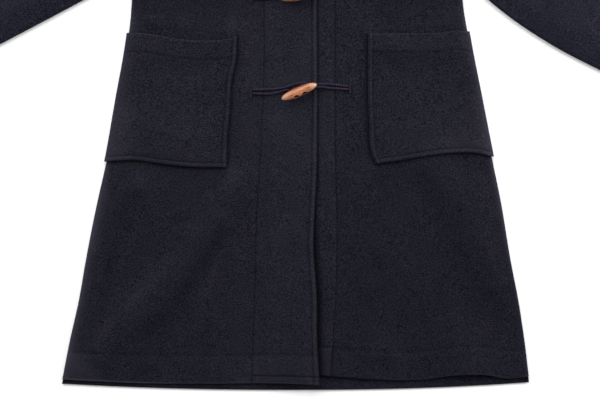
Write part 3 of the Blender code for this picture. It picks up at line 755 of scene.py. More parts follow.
class Repeater:
    """A Geometry Nodes tree with named inputs that is run on an object and turned into a plain mesh."""

    def __init__(self, name: str, sizes: Sequence[str]) -> None:
        """Start a tree.

        Args:
            name: the tree's name.
            sizes: names of its sizes; the geometry comes before them and the material after.
        """
        self.group = bpy.data.node_groups.new(name, "GeometryNodeTree")
        self.identifiers: dict[str, str] = {}
        self.group.interface.new_socket("Geometry", in_out="INPUT", socket_type="NodeSocketGeometry")
        for title in (*sizes, "Material"):
            kind = "NodeSocketMaterial" if title == "Material" else "NodeSocketFloat"
            made = self.group.interface.new_socket(title, in_out="INPUT", socket_type=kind)
            self.identifiers[title] = made.identifier
        self.group.interface.new_socket("Geometry", in_out="OUTPUT", socket_type="NodeSocketGeometry")
        self.tree = Tree(self.group)
        self.start = self.group.nodes.new("NodeGroupInput")
        self.end = self.group.nodes.new("NodeGroupOutput")

    def given(self, title: str) -> Value:
        """Value of a named input."""
        return Value(self.tree, self.start.outputs[title])

    def points(self, length: str) -> Value:
        """Curve along the object's lines, with points at a distance given by a named input."""
        path = self.tree.out("GeometryNodeMeshToCurve", None, {"Mesh": self.given("Geometry")})
        spacing = {"Curve": path, "Length": self.given(length)}
        return self.tree.out("GeometryNodeResampleCurve", {"mode": "LENGTH"}, spacing)

    def close(self, geometry: Value) -> None:
        """End the tree with real geometry that has the given material."""
        real = self.tree.out("GeometryNodeRealizeInstances", None, {"Geometry": geometry})
        smooth = self.tree.out("GeometryNodeSetShadeSmooth", None, {"Geometry": real})
        inputs = {"Geometry": smooth, "Material": self.given("Material")}
        finished = self.tree.out("GeometryNodeSetMaterial", None, inputs)
        self.tree.feed(self.end, {"Geometry": finished})

    def run(self, made: bpy.types.Object, values: dict[str, Any]) -> bpy.types.Object:
        """Run the tree on an object.

        Args:
            made: object whose mesh is replaced.
            values: value of each named input; sizes are in millimetres.

        Returns:
            The same object with the result as a plain mesh.
        """
        modifier = made.modifiers.new("Nodes", "NODES")
        modifier.node_group = self.group
        for title, value in values.items():
            modifier[self.identifiers[title]] = value * MM if isinstance(value, float) else value
        return applied(made)


class StitchRow(Repeater):
    """Rows of short stitches along the lines of an object."""

    def __init__(self) -> None:
        """Build the tree."""
        super().__init__("stitch row", ("Pitch", "Length", "Thickness"))
        tree = self.tree
        stitch = tree.out("GeometryNodeMeshUVSphere", None, {"Segments": 6, "Rings": 4, "Radius": 0.5})
        sides = {"X": self.given("Length"), "Y": self.given("Thickness"), "Z": self.given("Thickness")}
        size = tree.out("ShaderNodeCombineXYZ", None, sides)
        shaped = tree.out("GeometryNodeTransform", None, {"Geometry": stitch, "Scale": size})
        tangent = {"Vector": tree.out("GeometryNodeInputTangent")}
        turned = tree.out("FunctionNodeAlignEulerToVector", {"axis": "X", "pivot_axis": "AUTO"}, tangent)
        placed = {"Points": self.points("Pitch"), "Instance": shaped, "Rotation": turned}
        self.close(tree.out("GeometryNodeInstanceOnPoints", None, placed))


class TwistedCord(Repeater):
    """A three-ply cord along the line of an object."""

    plies: int = 3
    ring_steps: int = 18
    core: float = 0.87
    lobe: float = 0.15

    def __init__(self) -> None:
        """Build the tree."""
        super().__init__("twisted cord", ("Radius", "Lay", "Step"))
        tree = self.tree
        length = tree.out("GeometryNodeSplineParameter", key="Length")
        tilt = length / self.given("Lay") * (2.0 * math.pi)
        twist = {"Curve": self.points("Step"), "Tilt": tilt}
        twisted = tree.out("GeometryNodeSetCurveTilt", None, twist)
        circle = {"Resolution": self.ring_steps, "Radius": 1.0}
        ring = tree.out("GeometryNodeCurvePrimitiveCircle", None, circle)
        place = tree.out("GeometryNodeInputPosition")
        x, y, _ = tree.parts(place)
        lobes = tree.math("COSINE", tree.math("ARCTAN2", y, x) * float(self.plies))
        reach = self.given("Radius") * (self.core + self.lobe * lobes)
        spread = tree.out("ShaderNodeVectorMath", {"operation": "SCALE"}, {0: place, "Scale": reach})
        lobed = tree.out("GeometryNodeSetPosition", None, {"Geometry": ring, "Position": spread})
        swept = {"Curve": twisted, "Profile Curve": lobed, "Fill Caps": True}
        self.close(tree.out("GeometryNodeCurveToMesh", None, swept))


# The coat


@dataclass(frozen=True)
class FrontPaintedTone:
    """Painted light above 0 and painted shade below 0 on a front, for its folds, welts, hem and sides."""

    strokes: tuple[Crease, ...]
    skirt: Change
    hem: Change
    side_wide: Change
    side_close: Change = Change((130, 250), (1, 1))
    edge: Change = Change((0, 140), (0, 0))
    beside_facing: Point = (8.0, 18.0, 0.0)
    # Painted sheen on the sides: close on the roll and wide beside it
    close_sheen: Place = (3.2, 0.95)
    wide_sheen: Place = (30.0, 0.14)
    panel: Span = (-2.0, 2.0)
    chest: Change = Change((440, 500), (0, -0.05))
    facing: Change = Change((330, 240), (0.08, 0.03))
    turn_up: Change = Change((0, -3), (0, 0.05))
    edge_middle: float = 3.2
    edge_width: float = 2.2
    hem_width: float = 1.6


@dataclass(frozen=True)
class Body:
    """Back and fronts: their outline, how they lie, and their folds and seams."""

    halves: dict[Side, Profile] = by_side(
        Profile((
            (0, 305), (65, 294), (117, 283), (169, 274), (247, 258.5), (291, 248.5), (377, 233),
            (468, 217.5), (507, 214), (540, 213.5), (600, 194), (660, 182), (720, 180), (808, 196),
        )),
        Profile((
            (0, 302.5), (65, 296), (117, 288.5), (169, 278.5), (247, 265.5), (291, 256.5), (377, 239.5),
            (468, 222), (507, 216), (540, 215), (600, 195), (660, 183), (720, 181), (808, 197),
        )),
    )
    hems: dict[Side, Profile] = by_side(
        Profile(((-305, 14), (-260, 11.4), (-203, 9), (-120, 8.2), (-20, 9), (31, 8.2))),
        Profile((
            (-26, 22), (38, 18.7), (63, 16.2), (108, 13.4), (160, 13), (207, 19.5), (245, 19.8),
            (275, 14.8), (303, 18),
        )),
    )
    facings: dict[Side, Profile] = by_side(
        Profile((
            (0, -58.6), (19, -57.9), (143, -54), (247, -50.7), (286, -48.1), (386, -43.5), (429, -42.2),
            (507, -42.2), (862, -42),
        )),
        Profile(((0, 44.6), (28, 44.9), (46, 46.2), (143, 52), (338, 50.1), (507, 50), (862, 50))),
    )
    front_edge: Profile = Profile((
        (0, 30.2), (65, 26.9), (117, 26.6), (195, 22.3), (227, 23.6), (262, 25.6), (394, 27.3), (540, 26.5),
        (862, 26),
    ))
    folds: dict[Side, tuple[Crease, ...]] = by_side(
        crease_rows(
            (-80, 266, -138, 172, -252, 44, 22, 7.8), (-96, 214, -148, 132, -192, 34, 16, 4.6),
            (-212, 264, -243, 208, -280, 76, 17, 8.2), (-88, 172, -100, 134, -112, 96, 15, 2.8),
            (-168, 0, -166, 22, -158, 46, 10, 2.2), (-136, 0, -137, 20, -134, 40, 9, 1.8),
            (-106, 0, -106, 20, -104, 42, 10, 1.8), (-222, 0, -220, 26, -212, 48, 13, 1.8),
            (-204, 478, -172, 476, -138, 470, 9, 1.7), (-200, 540, -196, 512, -192, 484, 9, 2.4),
            (-150, 640, -130, 590, -122, 530, 20, 1.8),
        ),
        crease_rows(
            (176, 292, 212, 232, 262, 140, 23, 7.6), (98, 128, 98, 92, 108, 50, 22, 3.4),
            (226, -10, 222, 20, 216, 50, 34, 9.5), (89, 0, 88, 22, 92, 46, 10, 2),
            (126, 0, 127, 20, 124, 44, 10, 1.8), (196, 480, 168, 476, 132, 474, 9, 0.9),
            (199, 540, 196, 508, 193, 478, 9, 3), (150, 640, 128, 586, 118, 520, 20, 1.6),
        ),
    )
    creases: dict[Side, tuple[Crease, ...]] = by_side(
        crease_rows(
            (-96, 262, -128, 236, -170, 224, 7, 0.8), (-84, 248, -100, 214, -120, 188, 6, -0.6),
            (-196, 150, -216, 118, -240, 100, 8, 0.7), (-150, 118, -176, 92, -210, 74, 9, 0.8),
            (-240, 236, -248, 204, -262, 176, 6, 0.7), (-98, 58, -104, 34, -100, 12, 8, 0.7),
            (-186, 44, -190, 26, -184, 10, 7, -0.6), (-262, 48, -266, 30, -262, 14, 7, 0.8),
            (-66, 470, -70, 420, -64, 372, 9, 0.6), (-194, 520, -158, 512, -120, 520, 7, 0.8),
            (-186, 548, -150, 552, -112, 574, 9, 1.2), (-60, 700, -84, 660, -96, 610, 10, 0.9),
            (-150, 720, -122, 700, -92, 700, 8, -0.6),
        ),
        crease_rows(
            (88, 288, 96, 250, 116, 214, 7, 0.8), (128, 286, 158, 262, 196, 250, 8, -0.6),
            (96, 200, 120, 168, 150, 150, 9, 0.7), (214, 190, 232, 160, 242, 130, 7, 0.8),
            (150, 96, 168, 66, 180, 40, 9, -0.6), (132, 42, 136, 26, 132, 12, 7, 0.7),
            (268, 62, 272, 40, 276, 20, 7, 0.8), (72, 470, 78, 424, 72, 380, 9, 0.6),
            (196, 524, 160, 512, 118, 522, 7, 0.9), (190, 552, 150, 556, 112, 580, 9, 1.2),
            (66, 690, 86, 652, 92, 604, 10, 0.9), (146, 716, 122, 696, 90, 694, 8, -0.6),
        ),
    )
    # Painted light and shade of each front, standing for the shading of its folds and highlights of its edges
    painted_strokes: dict[Side, FrontPaintedTone] = by_side(
        FrontPaintedTone(
            crease_rows(
                (-92, 276, -166, 170, -262, 66, 15, 0.10), (-96, 214, -140, 138, -186, 84, 9, -0.20),
                (-180, 92, -196, 62, -204, 26, 9, -0.13), (-108, 156, -116, 132, -124, 108, 13, 0.13),
                (-166, 164, -190, 138, -214, 114, 12, 0.05), (-184, 30, -144, 28, -106, 30, 11, 0.06),
                (-252, 250, -258, 222, -266, 186, 8, 0.14), (-194, 244, -188, 204, -204, 160, 16, 0.05),
                (-220, 276, -240, 170, -262, 92, 10, -0.15), (-120, 484, -104, 482, -88, 480, 20, 0.10),
                (-215, 472, -198, 476, -182, 480, 12, 0.10), (-150, 474, -110, 474, -84, 474, 12, 0.08),
                (-98, 300, -86, 280, -84, 250, 12, 0.08), (-298, 56, -288, 38, -268, 22, 14, 0.15),
                (-14, 505, -14, 470, -12, 436, 18, -0.06),
            ),
            skirt=Change((330, 240), (0, -0.10)),
            hem=Change((-140, -220), (0.52, 1.12)),
            edge=Change((0, 140), (0.05, 0.16)),
            side_wide=Change((240, 160), (1, 1.45)),
            beside_facing=(8.0, 18.0, 0.08),
        ),
        FrontPaintedTone(
            crease_rows(
                (95, 474, 150, 474, 208, 474, 13, 0.07), (100, 144, 146, 96, 190, 62, 28, -0.12),
                (50, 492, 52, 462, 56, 430, 18, -0.07), (37, 236, 38, 180, 38, 96, 9, -0.07),
                (238, 278, 246, 256, 253, 230, 10, 0.16), (212, 238, 227, 204, 240, 166, 9, -0.08),
                (186, 50, 212, 56, 238, 44, 14, 0.09), (112, 276, 160, 284, 190, 290, 9, -0.10),
            ),
            skirt=Change((330, 240), (0, -0.20)),
            hem=Change((80, 120), (0, 0.40)),
            side_close=Change((130, 250), (0.6, 1)),
            side_wide=Change((110, 250), (0, 1)),
        ),
    )
    phase: float = 1.7
    side_softness: float = 20.0
    side_round: Place = (1.2, 0.35)
    fold_margin: float = 14.0
    armpit_bump: Point = (475.0, 36.0, 1.8)
    armpit_reach: float = 10.0
    front_neck_drop: float = 72.0
    hidden_neck_drop: float = 1.5
    shoulder_dip: Point = (0.0, 4.0, -1.9)
    shoulder_span: Span = (60.0, 90.0)
    back_neck_drop: float = 16.0
    back_neck_lift: Point = (0.0, 5.0, 1.1)
    back_hem_rises: Place = (8.0, 10.0)
    back_hem_power: float = 2.2
    hem_half: float = 303.0
    hem_round: Place = (1.3, 0.8)
    hidden_edge: float = -26.0
    step: Span = (-56.0, -30.0)
    edge_rise: float = 1.6
    edge_lift: float = 11.0
    edge_lift_reach: float = 140.0
    edge_lift_span: Span = (-24.0, 22.0)
    facing_rise: float = 2.0
    facing_span: Span = (70.0, 44.0)
    facing_seam: Groove = Groove(0.8, 1.0, 0.48, 0.8)
    facing_puff: Point = (3.2, 2.2, 0.35)
    # Widths up the coat of the painted shadow beside the upper front's edge
    edge_shade: Profile = Profile((
        (0, 9.4), (60, 10), (120, 12.4), (195, 10.6), (240, 4.8), (290, 4.2), (862, 4.2),
    ))
    edge_shade_dark: float = 0.86
    edge_welt: float = 7.1
    edge_puff: float = 1.5
    edge_row: Groove = Groove(0.5, 1.1, 0.2, 0.8)
    edge_round: Place = (2.6, 1.9)
    # Painted shade along the side of the upper front's edge
    edge_dark: Change = Change((0, 1.4), (0.7, 0))
    hem_welt: float = 9.4
    hem_puff: float = 0.7
    hem_row: Groove = Groove(0.9, 1.2, 0.5, 0.9)
    hem_row_across: Span = (-1.0, 1.0)
    hem_row_up: Span = (26.0, 20.0)
    turn_up: float = 36.0
    turn_up_rise: Change = Change((0, 5), (0, 0.55))
    turn_up_row: Groove = Groove(0.3, 2.2, 0.22, 1.6)
    turn_up_row_out: float = 1.5
    front_rows: tuple[Run, ...] = (
        (0.0, 14.0, 18), (16.2, 58.0, 20), (60.5, 543.5, 162), (546.0, NECK_POINT, 62),
    )
    back_rows: tuple[Run, ...] = ((0.0, 8.0, 9), (14.0, 536.0, 88), (543.0, NECK_POINT, 50))
    back_columns: int = 61
    roll_columns: int = 8
    panel_columns: int = 58
    seam_columns: int = 13
    seam_reach: float = 5.0
    upper_columns: tuple[int, int] = (18, 16)
    upper_reach: float = 9.5
    lower_columns: int = 20

    def half(self, side: Side, station: Array | float) -> Array:
        """Distance of the body's side from the centre line on a cross line."""
        return self.halves[side](self.height(station, 0.0, SHOULDER_TIP))

    @staticmethod
    def height(station: Array | float, hem: Array | float, top: Array | float) -> Array:
        """Height of a cross line, which follows a hem below and a top edge above."""
        station = np.asarray(station, dtype=float)
        low = station + hem * np.clip(1.0 - station / HEM_FADE, 0.0, 1.0) ** 2
        high = YOKE_START + (station - YOKE_START) / (NECK_POINT - YOKE_START) * (top - YOKE_START)
        return np.where(station > YOKE_START, high, low)

    @staticmethod
    def top_edge(x: Array, drop: float) -> Array:
        """Height of a panel's shoulder and neck edge, with its neckline dropped by drop."""
        across = np.abs(x)
        neck = NECK_POINT - drop * (1.0 - (across / NECK_HALF) ** 2)
        fall = (NECK_POINT - SHOULDER_TIP) / (SHOULDER_HALF - NECK_HALF)
        return np.where(across < NECK_HALF, neck, NECK_POINT - fall * (across - NECK_HALF))

    @staticmethod
    def roll_share(station: Array | float) -> Array:
        """How fully the side is rolled: 1 up to the armpit, 0 along the armhole."""
        return ramp(np.asarray(station, dtype=float), ARMPIT, ROLL_END)

    @staticmethod
    def roll(share: Array | float, along: Array | float, out: float = 0.0) -> tuple[Array, Array]:
        """Inset and rise of the side's roll.

        Args:
            share: how fully it is rolled.
            along: from 0 at the side seam to 1 where the flat part starts.
            out: how far a layer lies outside the roll.

        Returns:
            Insets from the side and rises from the flat part.
        """
        turn = math.pi / 2.0 * share
        angle = turn * (1.0 - along)
        spread = ROLL * math.pi / 2.0 * (1.0 - share) * along
        inset = spread + ROLL * np.sin(turn) + out - (ROLL + out) * np.sin(angle)
        return inset, (ROLL + out) * (1.0 - np.cos(angle))

    def back_hem(self, x: Array) -> Array:
        """Height of the back hem."""
        right, left = self.back_hem_rises
        return np.where(x < 0.0, right, left) * (np.abs(x) / self.hem_half) ** self.back_hem_power

    def side_inset(self, side: Side, x: Array, height: Array) -> Array:
        """Distance in plan from the roll of a side."""
        return np.maximum(self.halves[side](height) - ROLL - np.abs(x), 0.0)

    def own_face(self, side: Side, x: Array, height: Array) -> Array:
        """Height of the outer face of a front that lies straight on the back."""
        inset = self.side_inset(side, x, height)
        rise = (ROLL_TOP - REST_TOP) * bell(inset, self.side_softness)
        folds = total_rise(self.folds[side], x, height) * (1.0 - bell(inset, self.fold_margin))
        if side is Side.LEFT:
            rise = rise + self.facing_rise * ramp(x, *self.facing_span)
        return above(REST_TOP + rise + folds, LOWEST_TOP)

    def face(self, side: Side, x: Array, height: Array) -> Array:
        """Find the outer face of a front, the upper one lying on the lower one where they overlap.

        Args:
            side: which front.
            x: places across.
            height: places up the coat.

        Returns:
            Heights above the floor.
        """
        own = self.own_face(side, x, height)
        if side is Side.LEFT:
            return own
        climb = ramp(x, *self.step)
        tilt = self.edge_rise * ramp(x, self.step[0], self.edge_lift_span[1])
        lift = self.edge_lift * bell(height, self.edge_lift_reach) * ramp(x, *self.edge_lift_span)
        over = self.own_face(Side.LEFT, x, height) + LAYER + tilt + lift
        return own * (1.0 - climb) + over * climb

    def under(self, x: float, height: float) -> float:
        """Outer face of whichever front shows at a place."""
        side = Side.RIGHT if x < float(self.front_edge(height)) else Side.LEFT
        return float(self.face(side, np.array([x]), np.array([height]))[0])

    def detail(self, side: Side, x: Array, height: Array) -> tuple[Array, Array]:
        """Fine relief of a front.

        Args:
            side: which front.
            x: places across.
            height: places up the coat.

        Returns:
            The rises of creases, seams, welts and edges, and the painted shade and shadow at each place.
        """
        inset = self.side_inset(side, x, height)
        rise = total_rise(self.creases[side], x, height) + EASE.height(x, height, self.phase * side.sign)
        rise = rise * (1.0 - bell(inset, self.fold_margin))
        facing = x - self.facings[side](height)
        hem = height - self.hems[side](x)
        band = self.turn_up - hem
        row = band + self.turn_up_row_out
        rise = rise + self.facing_seam.rise(facing) + mound(side.sign * facing, *self.facing_puff)
        rise = rise + self.turn_up_rise(band) + self.turn_up_row.rise(row)
        # Painted shade in the grooves of the facing seam and the turn-up row
        dark = self.facing_seam.shade(facing) + self.turn_up_row.shade(row)
        if side is Side.RIGHT:
            edge = self.front_edge(height) - x
            edge_row, hem_row = edge - self.edge_welt, hem - self.hem_welt
            low = ramp(facing, *self.hem_row_across) * ramp(hem, *self.hem_row_up)
            rise = rise + welt(edge, self.edge_welt, self.edge_puff) + self.edge_row.rise(edge_row)
            rise = rise + rounded(edge, *self.edge_round)
            rise = rise + low * (welt(hem, self.hem_welt, self.hem_puff) + self.hem_row.rise(hem_row))
            # Painted shade in the edge and hem rows and along the side of the edge
            dark = dark + self.edge_row.shade(edge_row) + low * self.hem_row.shade(hem_row)
            dark = dark + self.edge_dark(edge)
        else:
            gap = x - self.front_edge(height)
            # Painted shadow that the upper front's edge casts on the lower front
            dark = dark + self.edge_shade_dark * ramp(gap, self.edge_shade(height), 0.0)
        rise = rise + rounded(hem, *self.hem_round)
        shoulder = self.top_edge(x, self.front_neck_drop) - height
        rise = rise + mound(shoulder, *self.shoulder_dip) * ramp(np.abs(x), *self.shoulder_span)
        return rise, dark

    def front_point(
        self, side: Side, inset: Array, station: Array, drop: Array | float = 0.0, out: Array | float = 0.0
    ) -> Array:
        """Points of a front at insets from its side, dropped on the roll and moved out."""
        x = side.sign * (self.half(side, station) - inset)
        neck_drop = self.front_neck_drop + (self.hidden_neck_drop if side is Side.LEFT else 0.0)
        height = self.height(station, self.hems[side](x), self.top_edge(x, neck_drop))
        lift = mound(station, *self.armpit_bump) * bell(inset, self.armpit_reach)
        return np.stack([x, height, self.face(side, x, height) + lift + out - drop], axis=-1)

    def roll_grid(self, share: Array, columns: int, out: float = 0.0) -> tuple[Array, Array]:
        """Insets and rises of the columns on a roll, from the side seam to before its flat end."""
        return self.roll(share, np.linspace(0.0, 1.0, columns + 1)[None, :-1], out)

    def front(self, side: Side, pocket: "Pocket") -> Cloth:
        """Lay out a front.

        Args:
            side: which front.
            pocket: the pocket on it, which gives the painted shadow and shade beside and below it.

        Returns:
            The cloth of the front.
        """
        station = spaced(*self.front_rows)[:, None]
        half = self.half(side, station)
        share = self.roll_share(station)
        roll_inset, roll_drop = self.roll_grid(share, self.roll_columns)
        start, _ = self.roll(share, 1.0)
        seam = half - side.sign * self.facings[side](station)
        edge = half + self.front_edge(station) if side is Side.RIGHT else half - self.hidden_edge
        spans = [
            (start, seam - self.seam_reach, self.panel_columns),
            (seam - self.seam_reach, seam + self.seam_reach, self.seam_columns),
        ]
        if side is Side.RIGHT:
            middle = edge - self.upper_reach
            wide, close = self.upper_columns
            spans += [(seam + self.seam_reach, middle, wide), (middle, edge, close)]
        else:
            spans += [(seam + self.seam_reach, edge, self.lower_columns)]
        parts = [roll_inset]
        for first, last, count in spans:
            parts.append(first + (last - first) * np.linspace(0.0, 1.0, count)[None, :-1])
        inset = np.concatenate([*parts, edge], axis=1)
        drop = np.zeros(inset.shape)
        drop[:, : self.roll_columns] = roll_drop
        station = np.broadcast_to(station, inset.shape)
        rows = self.front_point(side, inset, station, drop)
        x, height = rows[..., 0].copy(), rows[..., 1]
        rise, dark = self.detail(side, x, height)
        rows[..., 2] += rise * (1.0 - np.clip(drop / ROLL, 0.0, 1.0))
        rolled = self.roll_share(station)
        rows[..., 0] += side.sign * rounded(inset, *self.side_round) * rolled
        # Painted sheen along the side and painted light and shade of the front
        nap = self.side_sheen(side, inset, height) * rolled + self.front_painted_tone(side, rows[..., 0], height)
        # Painted shade below the pocket and painted shadow beside and below it
        nap = nap + pocket.painted_shade_below(rows[..., 0], height)
        dark = dark + pocket.shade(x, height)
        return Cloth(f"front_{side.value}_cloth", rows, dark, nap, flip=side is Side.LEFT)

    def side_sheen(self, side: Side, inset: Array, height: Array) -> Array:
        """Painted sheen along a side, closely on the roll and widely beside it."""
        nap = self.painted_strokes[side]
        close = painted_edge_light(inset, *nap.close_sheen) * nap.side_close(height)
        return close + painted_edge_light(inset, *nap.wide_sheen) * nap.side_wide(height)

    def front_painted_tone(self, side: Side, x: Array, height: Array) -> Array:
        """Find the painted light and shade of a front.

        Args:
            side: which front.
            x: places across.
            height: places up the coat.

        Returns:
            Painted shade on skirt and chest, painted light on facing, edge and hem, and painted strokes.
        """
        nap = self.painted_strokes[side]
        facing = side.sign * (x - self.facings[side](height))
        hem = height - self.hems[side](x)
        panel = ramp(facing, *nap.panel)
        on_panel = nap.skirt(height) + nap.chest(height) + mound(facing, *nap.beside_facing)
        # Painted shade on the skirt and chest, painted light on the facing
        lie = panel * on_panel + (1.0 - panel) * nap.facing(height) + nap.turn_up(hem - self.turn_up)
        # Painted highlight on the edge welt
        lie = lie + mound(self.front_edge(height) - x, nap.edge_middle, nap.edge_width, nap.edge(height))
        # Painted highlight on the hem, and painted strokes along the folds
        return lie + nap.hem(x) * bell(hem, nap.hem_width) + total_rise(nap.strokes, x, height)

    def back(self) -> Cloth:
        """Lay out the cloth of the back."""
        station = spaced(*self.back_rows)[:, None]
        share = self.roll_share(station)
        inset, rise = self.roll_grid(share, self.roll_columns)
        start, _ = self.roll(share, 1.0)
        right, left = self.half(Side.RIGHT, station), self.half(Side.LEFT, station)
        across = np.linspace(-1.0, 1.0, self.back_columns)[None, :]
        reach = np.where(across < 0.0, right - start, left - start)
        x = np.concatenate([inset - right, across * reach, (left - inset)[:, ::-1]], axis=1)
        z = np.concatenate([rise, np.zeros((len(station), self.back_columns)), rise[:, ::-1]], axis=1)
        top = self.top_edge(x, self.back_neck_drop)
        height = self.height(np.broadcast_to(station, x.shape), self.back_hem(x), top)
        rows = np.stack([x, height, z + mound(top - height, *self.back_neck_lift)], axis=-1)
        return Cloth("back_cloth", rows, np.zeros(x.shape), np.zeros(x.shape), flip=True)


@dataclass(frozen=True)
class Pocket:
    """Patch pocket on a front: its top, bottom and inner edges, with topstitched welts."""

    side: Side
    top: Profile
    bottom: Profile
    edge: Profile
    dents: tuple[Crease, ...]
    painted_strokes: tuple[Crease, ...]
    rise: float = LAYER
    bulge: Point = (0.17, 0.16, 3.4)
    bulge_start: float = 0.08
    gape: Change = Change((0.7, 1), (0, 2.6))
    swell_power: float = 0.7
    root: float = 380.0
    rounds: int = 6
    stitch_inset: float = 6.2
    stitch_count: int = 60
    stitch_ends: Span = (0.02, 0.995)
    stitch_sink: float = 0.75
    mouth_hem: float = 25.0
    mouth_stitch_lift: float = 0.45
    edge_puff: float = 1.8
    bottom_puff: float = 0.81
    edge_row: Groove = Groove(0.6, 1.0, 0.3, 0.8)
    bottom_row: Groove = Groove(0.7, 1.0, 0.35, 0.8)
    hem_row: Groove = Groove(0.4, 1.6, 0.3, 0.8)
    hem_row_start: Span = (1.0, 4.0)
    hem_rise: Change = Change((0, -3), (0, 0.35))
    edge_round: Place = (2.6, 2.2)
    bottom_round: Place = (1.8, 1.5)
    top_round: Place = (2.2, 1.2)
    phase: float = 3.3
    unevenness: float = 0.7
    fold_margin: float = 8.0
    fold_start: float = 1.0 / 12.0
    # Reach, strength and blur of the painted shadow beside and below the pocket, then the painted shade below
    # it
    shade_reach: float = 5.4
    shade_dark: float = 0.66
    shade_blur: float = 2.0
    below_span: Span = (-8.0, 8.0)
    below_reach: float = 20.0
    below_dark: float = -0.14
    # Painted sheen on the rolled side, painted highlights on the top edge and welts, painted light near the
    # bottom
    roll_sheen: Place = (6.5, 0.6)
    top_highlight: Place = (1.5, 0.15)
    edge_painted_tone: Point = (3.2, 2.2, 0.12)
    bottom_highlight: Point = (2.6, 1.8, 0.04)
    low_painted_light: Point = (0.0, 26.0, 0.08)
    rows: tuple[Run, ...] = ((0.0, 0.05, 13), (0.05, 0.82, 38), (0.82, 0.88, 10), (0.88, 1.0, 14))
    columns: tuple[Run, ...] = ((0.0, 0.94, 44), (0.94, 1.0, 14))
    roll_columns: int = 6

    def shade(self, x: Array, height: Array) -> Array:
        """Find the painted shadow on the front beside and below the pocket.

        Args:
            x: places across on the front.
            height: places up the coat.

        Returns:
            Shares of the painted shade colour.
        """
        blur, reach = self.shade_blur, self.shade_reach
        low, top = self.bottom(x), self.top(x)
        beside = np.abs(self.edge(height)) - np.abs(x)
        inside = ramp(height - low, -blur, blur) * ramp(top - height, -blur, blur)
        under = ramp(low - height, reach, 0.0) * ramp(beside, blur, -blur) * (height < low + blur)
        return self.shade_dark * np.maximum(ramp(beside, reach, 0.0) * inside, under)

    def painted_shade_below(self, x: Array, height: Array) -> Array:
        """Painted shade on the front below the pocket."""
        bottom = self.bottom(x)
        inside = ramp(np.abs(x) - np.abs(self.edge(bottom)), *self.below_span)
        return self.below_dark * inside * bell(np.maximum(bottom - height, 0.0), self.below_reach)

    def spread(self, body: Body, across: Array, up: Array) -> tuple[Array, Array, Array, Array]:
        """Follow the front's lines.

        Args:
            body: the fronts.
            across: from 0 at the start of the flat part to 1 at the inner edge.
            up: from 0 at the bottom edge to 1 at the top edge.

        Returns:
            Insets, stations, widths and depths of the pocket there.
        """
        flat_start = float(body.roll(1.0, 1.0, self.rise)[0]) - self.rise
        x = self.side.sign * body.half(self.side, self.root) * np.ones(np.broadcast(across, up).shape)
        for _ in range(self.rounds):
            low = self.bottom(x)
            depth = self.top(x) - low
            station = low + up * depth
            half = body.half(self.side, station)
            width = half - np.abs(self.edge(station)) - flat_start
            inset = flat_start + across * width
            x = self.side.sign * (half - inset)
        return inset, station, width, depth

    def swell(self, across: Array, up: Array) -> Array:
        """How far the pocket stands off the front at shares of its width and depth."""
        stand = mound(up, *self.bulge) * ramp(up, 0.0, self.bulge_start) + self.gape(up)
        return stand * np.maximum(np.sin(math.pi * across), 0.0) ** self.swell_power

    def relief(self, edge: Array, bottom: Array, top: Array) -> tuple[Array, Array]:
        """Fine relief of the pocket.

        Args:
            edge: distances from the inner edge.
            bottom: distances from the bottom edge.
            top: distances from the top edge.

        Returns:
            The rises of welts, seams and edges, and how dark each place is in a seam.
        """
        inset = self.stitch_inset
        hem = top - self.mouth_hem
        inside = ramp(edge, *self.hem_row_start)
        rise = np.maximum(welt(edge, inset, self.edge_puff), welt(bottom, inset, self.bottom_puff))
        rise = rise + self.edge_row.rise(edge - inset) + self.bottom_row.rise(bottom - inset)
        rise = rise + self.hem_row.rise(hem) * inside + self.hem_rise(hem)
        rise = rise + rounded(edge, *self.edge_round) + rounded(bottom, *self.bottom_round)
        dark = self.edge_row.shade(edge - inset) + self.bottom_row.shade(bottom - inset)
        return rise + rounded(top, *self.top_round), dark + self.hem_row.shade(hem) * inside

    def cloth(self, body: Body) -> Cloth:
        """Lay out the pocket.

        Args:
            body: the fronts.

        Returns:
            The cloth of the pocket.
        """
        up = spaced(*self.rows)[:, None]
        share = np.concatenate([np.zeros(self.roll_columns), spaced(*self.columns)])[None, :]
        inset, station, width, depth = self.spread(body, share, up)
        roll_inset, roll_drop = body.roll_grid(np.ones((len(up), 1)), self.roll_columns, self.rise)
        inset[:, : self.roll_columns] = roll_inset - self.rise
        drop = np.zeros(inset.shape)
        drop[:, : self.roll_columns] = roll_drop
        edge, bottom, top = (1.0 - share) * width, up * depth, (1.0 - up) * depth
        rows = body.front_point(self.side, inset, station, drop, self.rise + self.swell(share, up))
        x, height = rows[..., 0], rows[..., 1]
        rise, dark = self.relief(edge, bottom, top)
        folds = total_rise(self.dents, x, height)
        folds = folds + self.unevenness * EASE.height(x, height, self.phase * self.side.sign)
        quiet = (1.0 - bell(edge, self.fold_margin)) * (1.0 - bell(bottom, self.fold_margin))
        rise = rise + folds * quiet * ramp(share, 0.0, self.fold_start)
        rows[..., 2] += rise * (1.0 - np.clip(drop / (ROLL + self.rise), 0.0, 1.0))
        # Painted sheen and highlights on the pocket's edges and welts, painted light and shade in its strokes
        nap = painted_edge_light(inset + self.rise, *self.roll_sheen) + painted_edge_light(top, *self.top_highlight)
        nap = nap + mound(edge, *self.edge_painted_tone) + mound(bottom, *self.bottom_highlight)
        nap = nap + mound(bottom, *self.low_painted_light) + total_rise(self.painted_strokes, x, height)
        return Cloth(f"pocket_{self.side.value}_cloth", rows, dark, nap, flip=self.side is Side.LEFT)

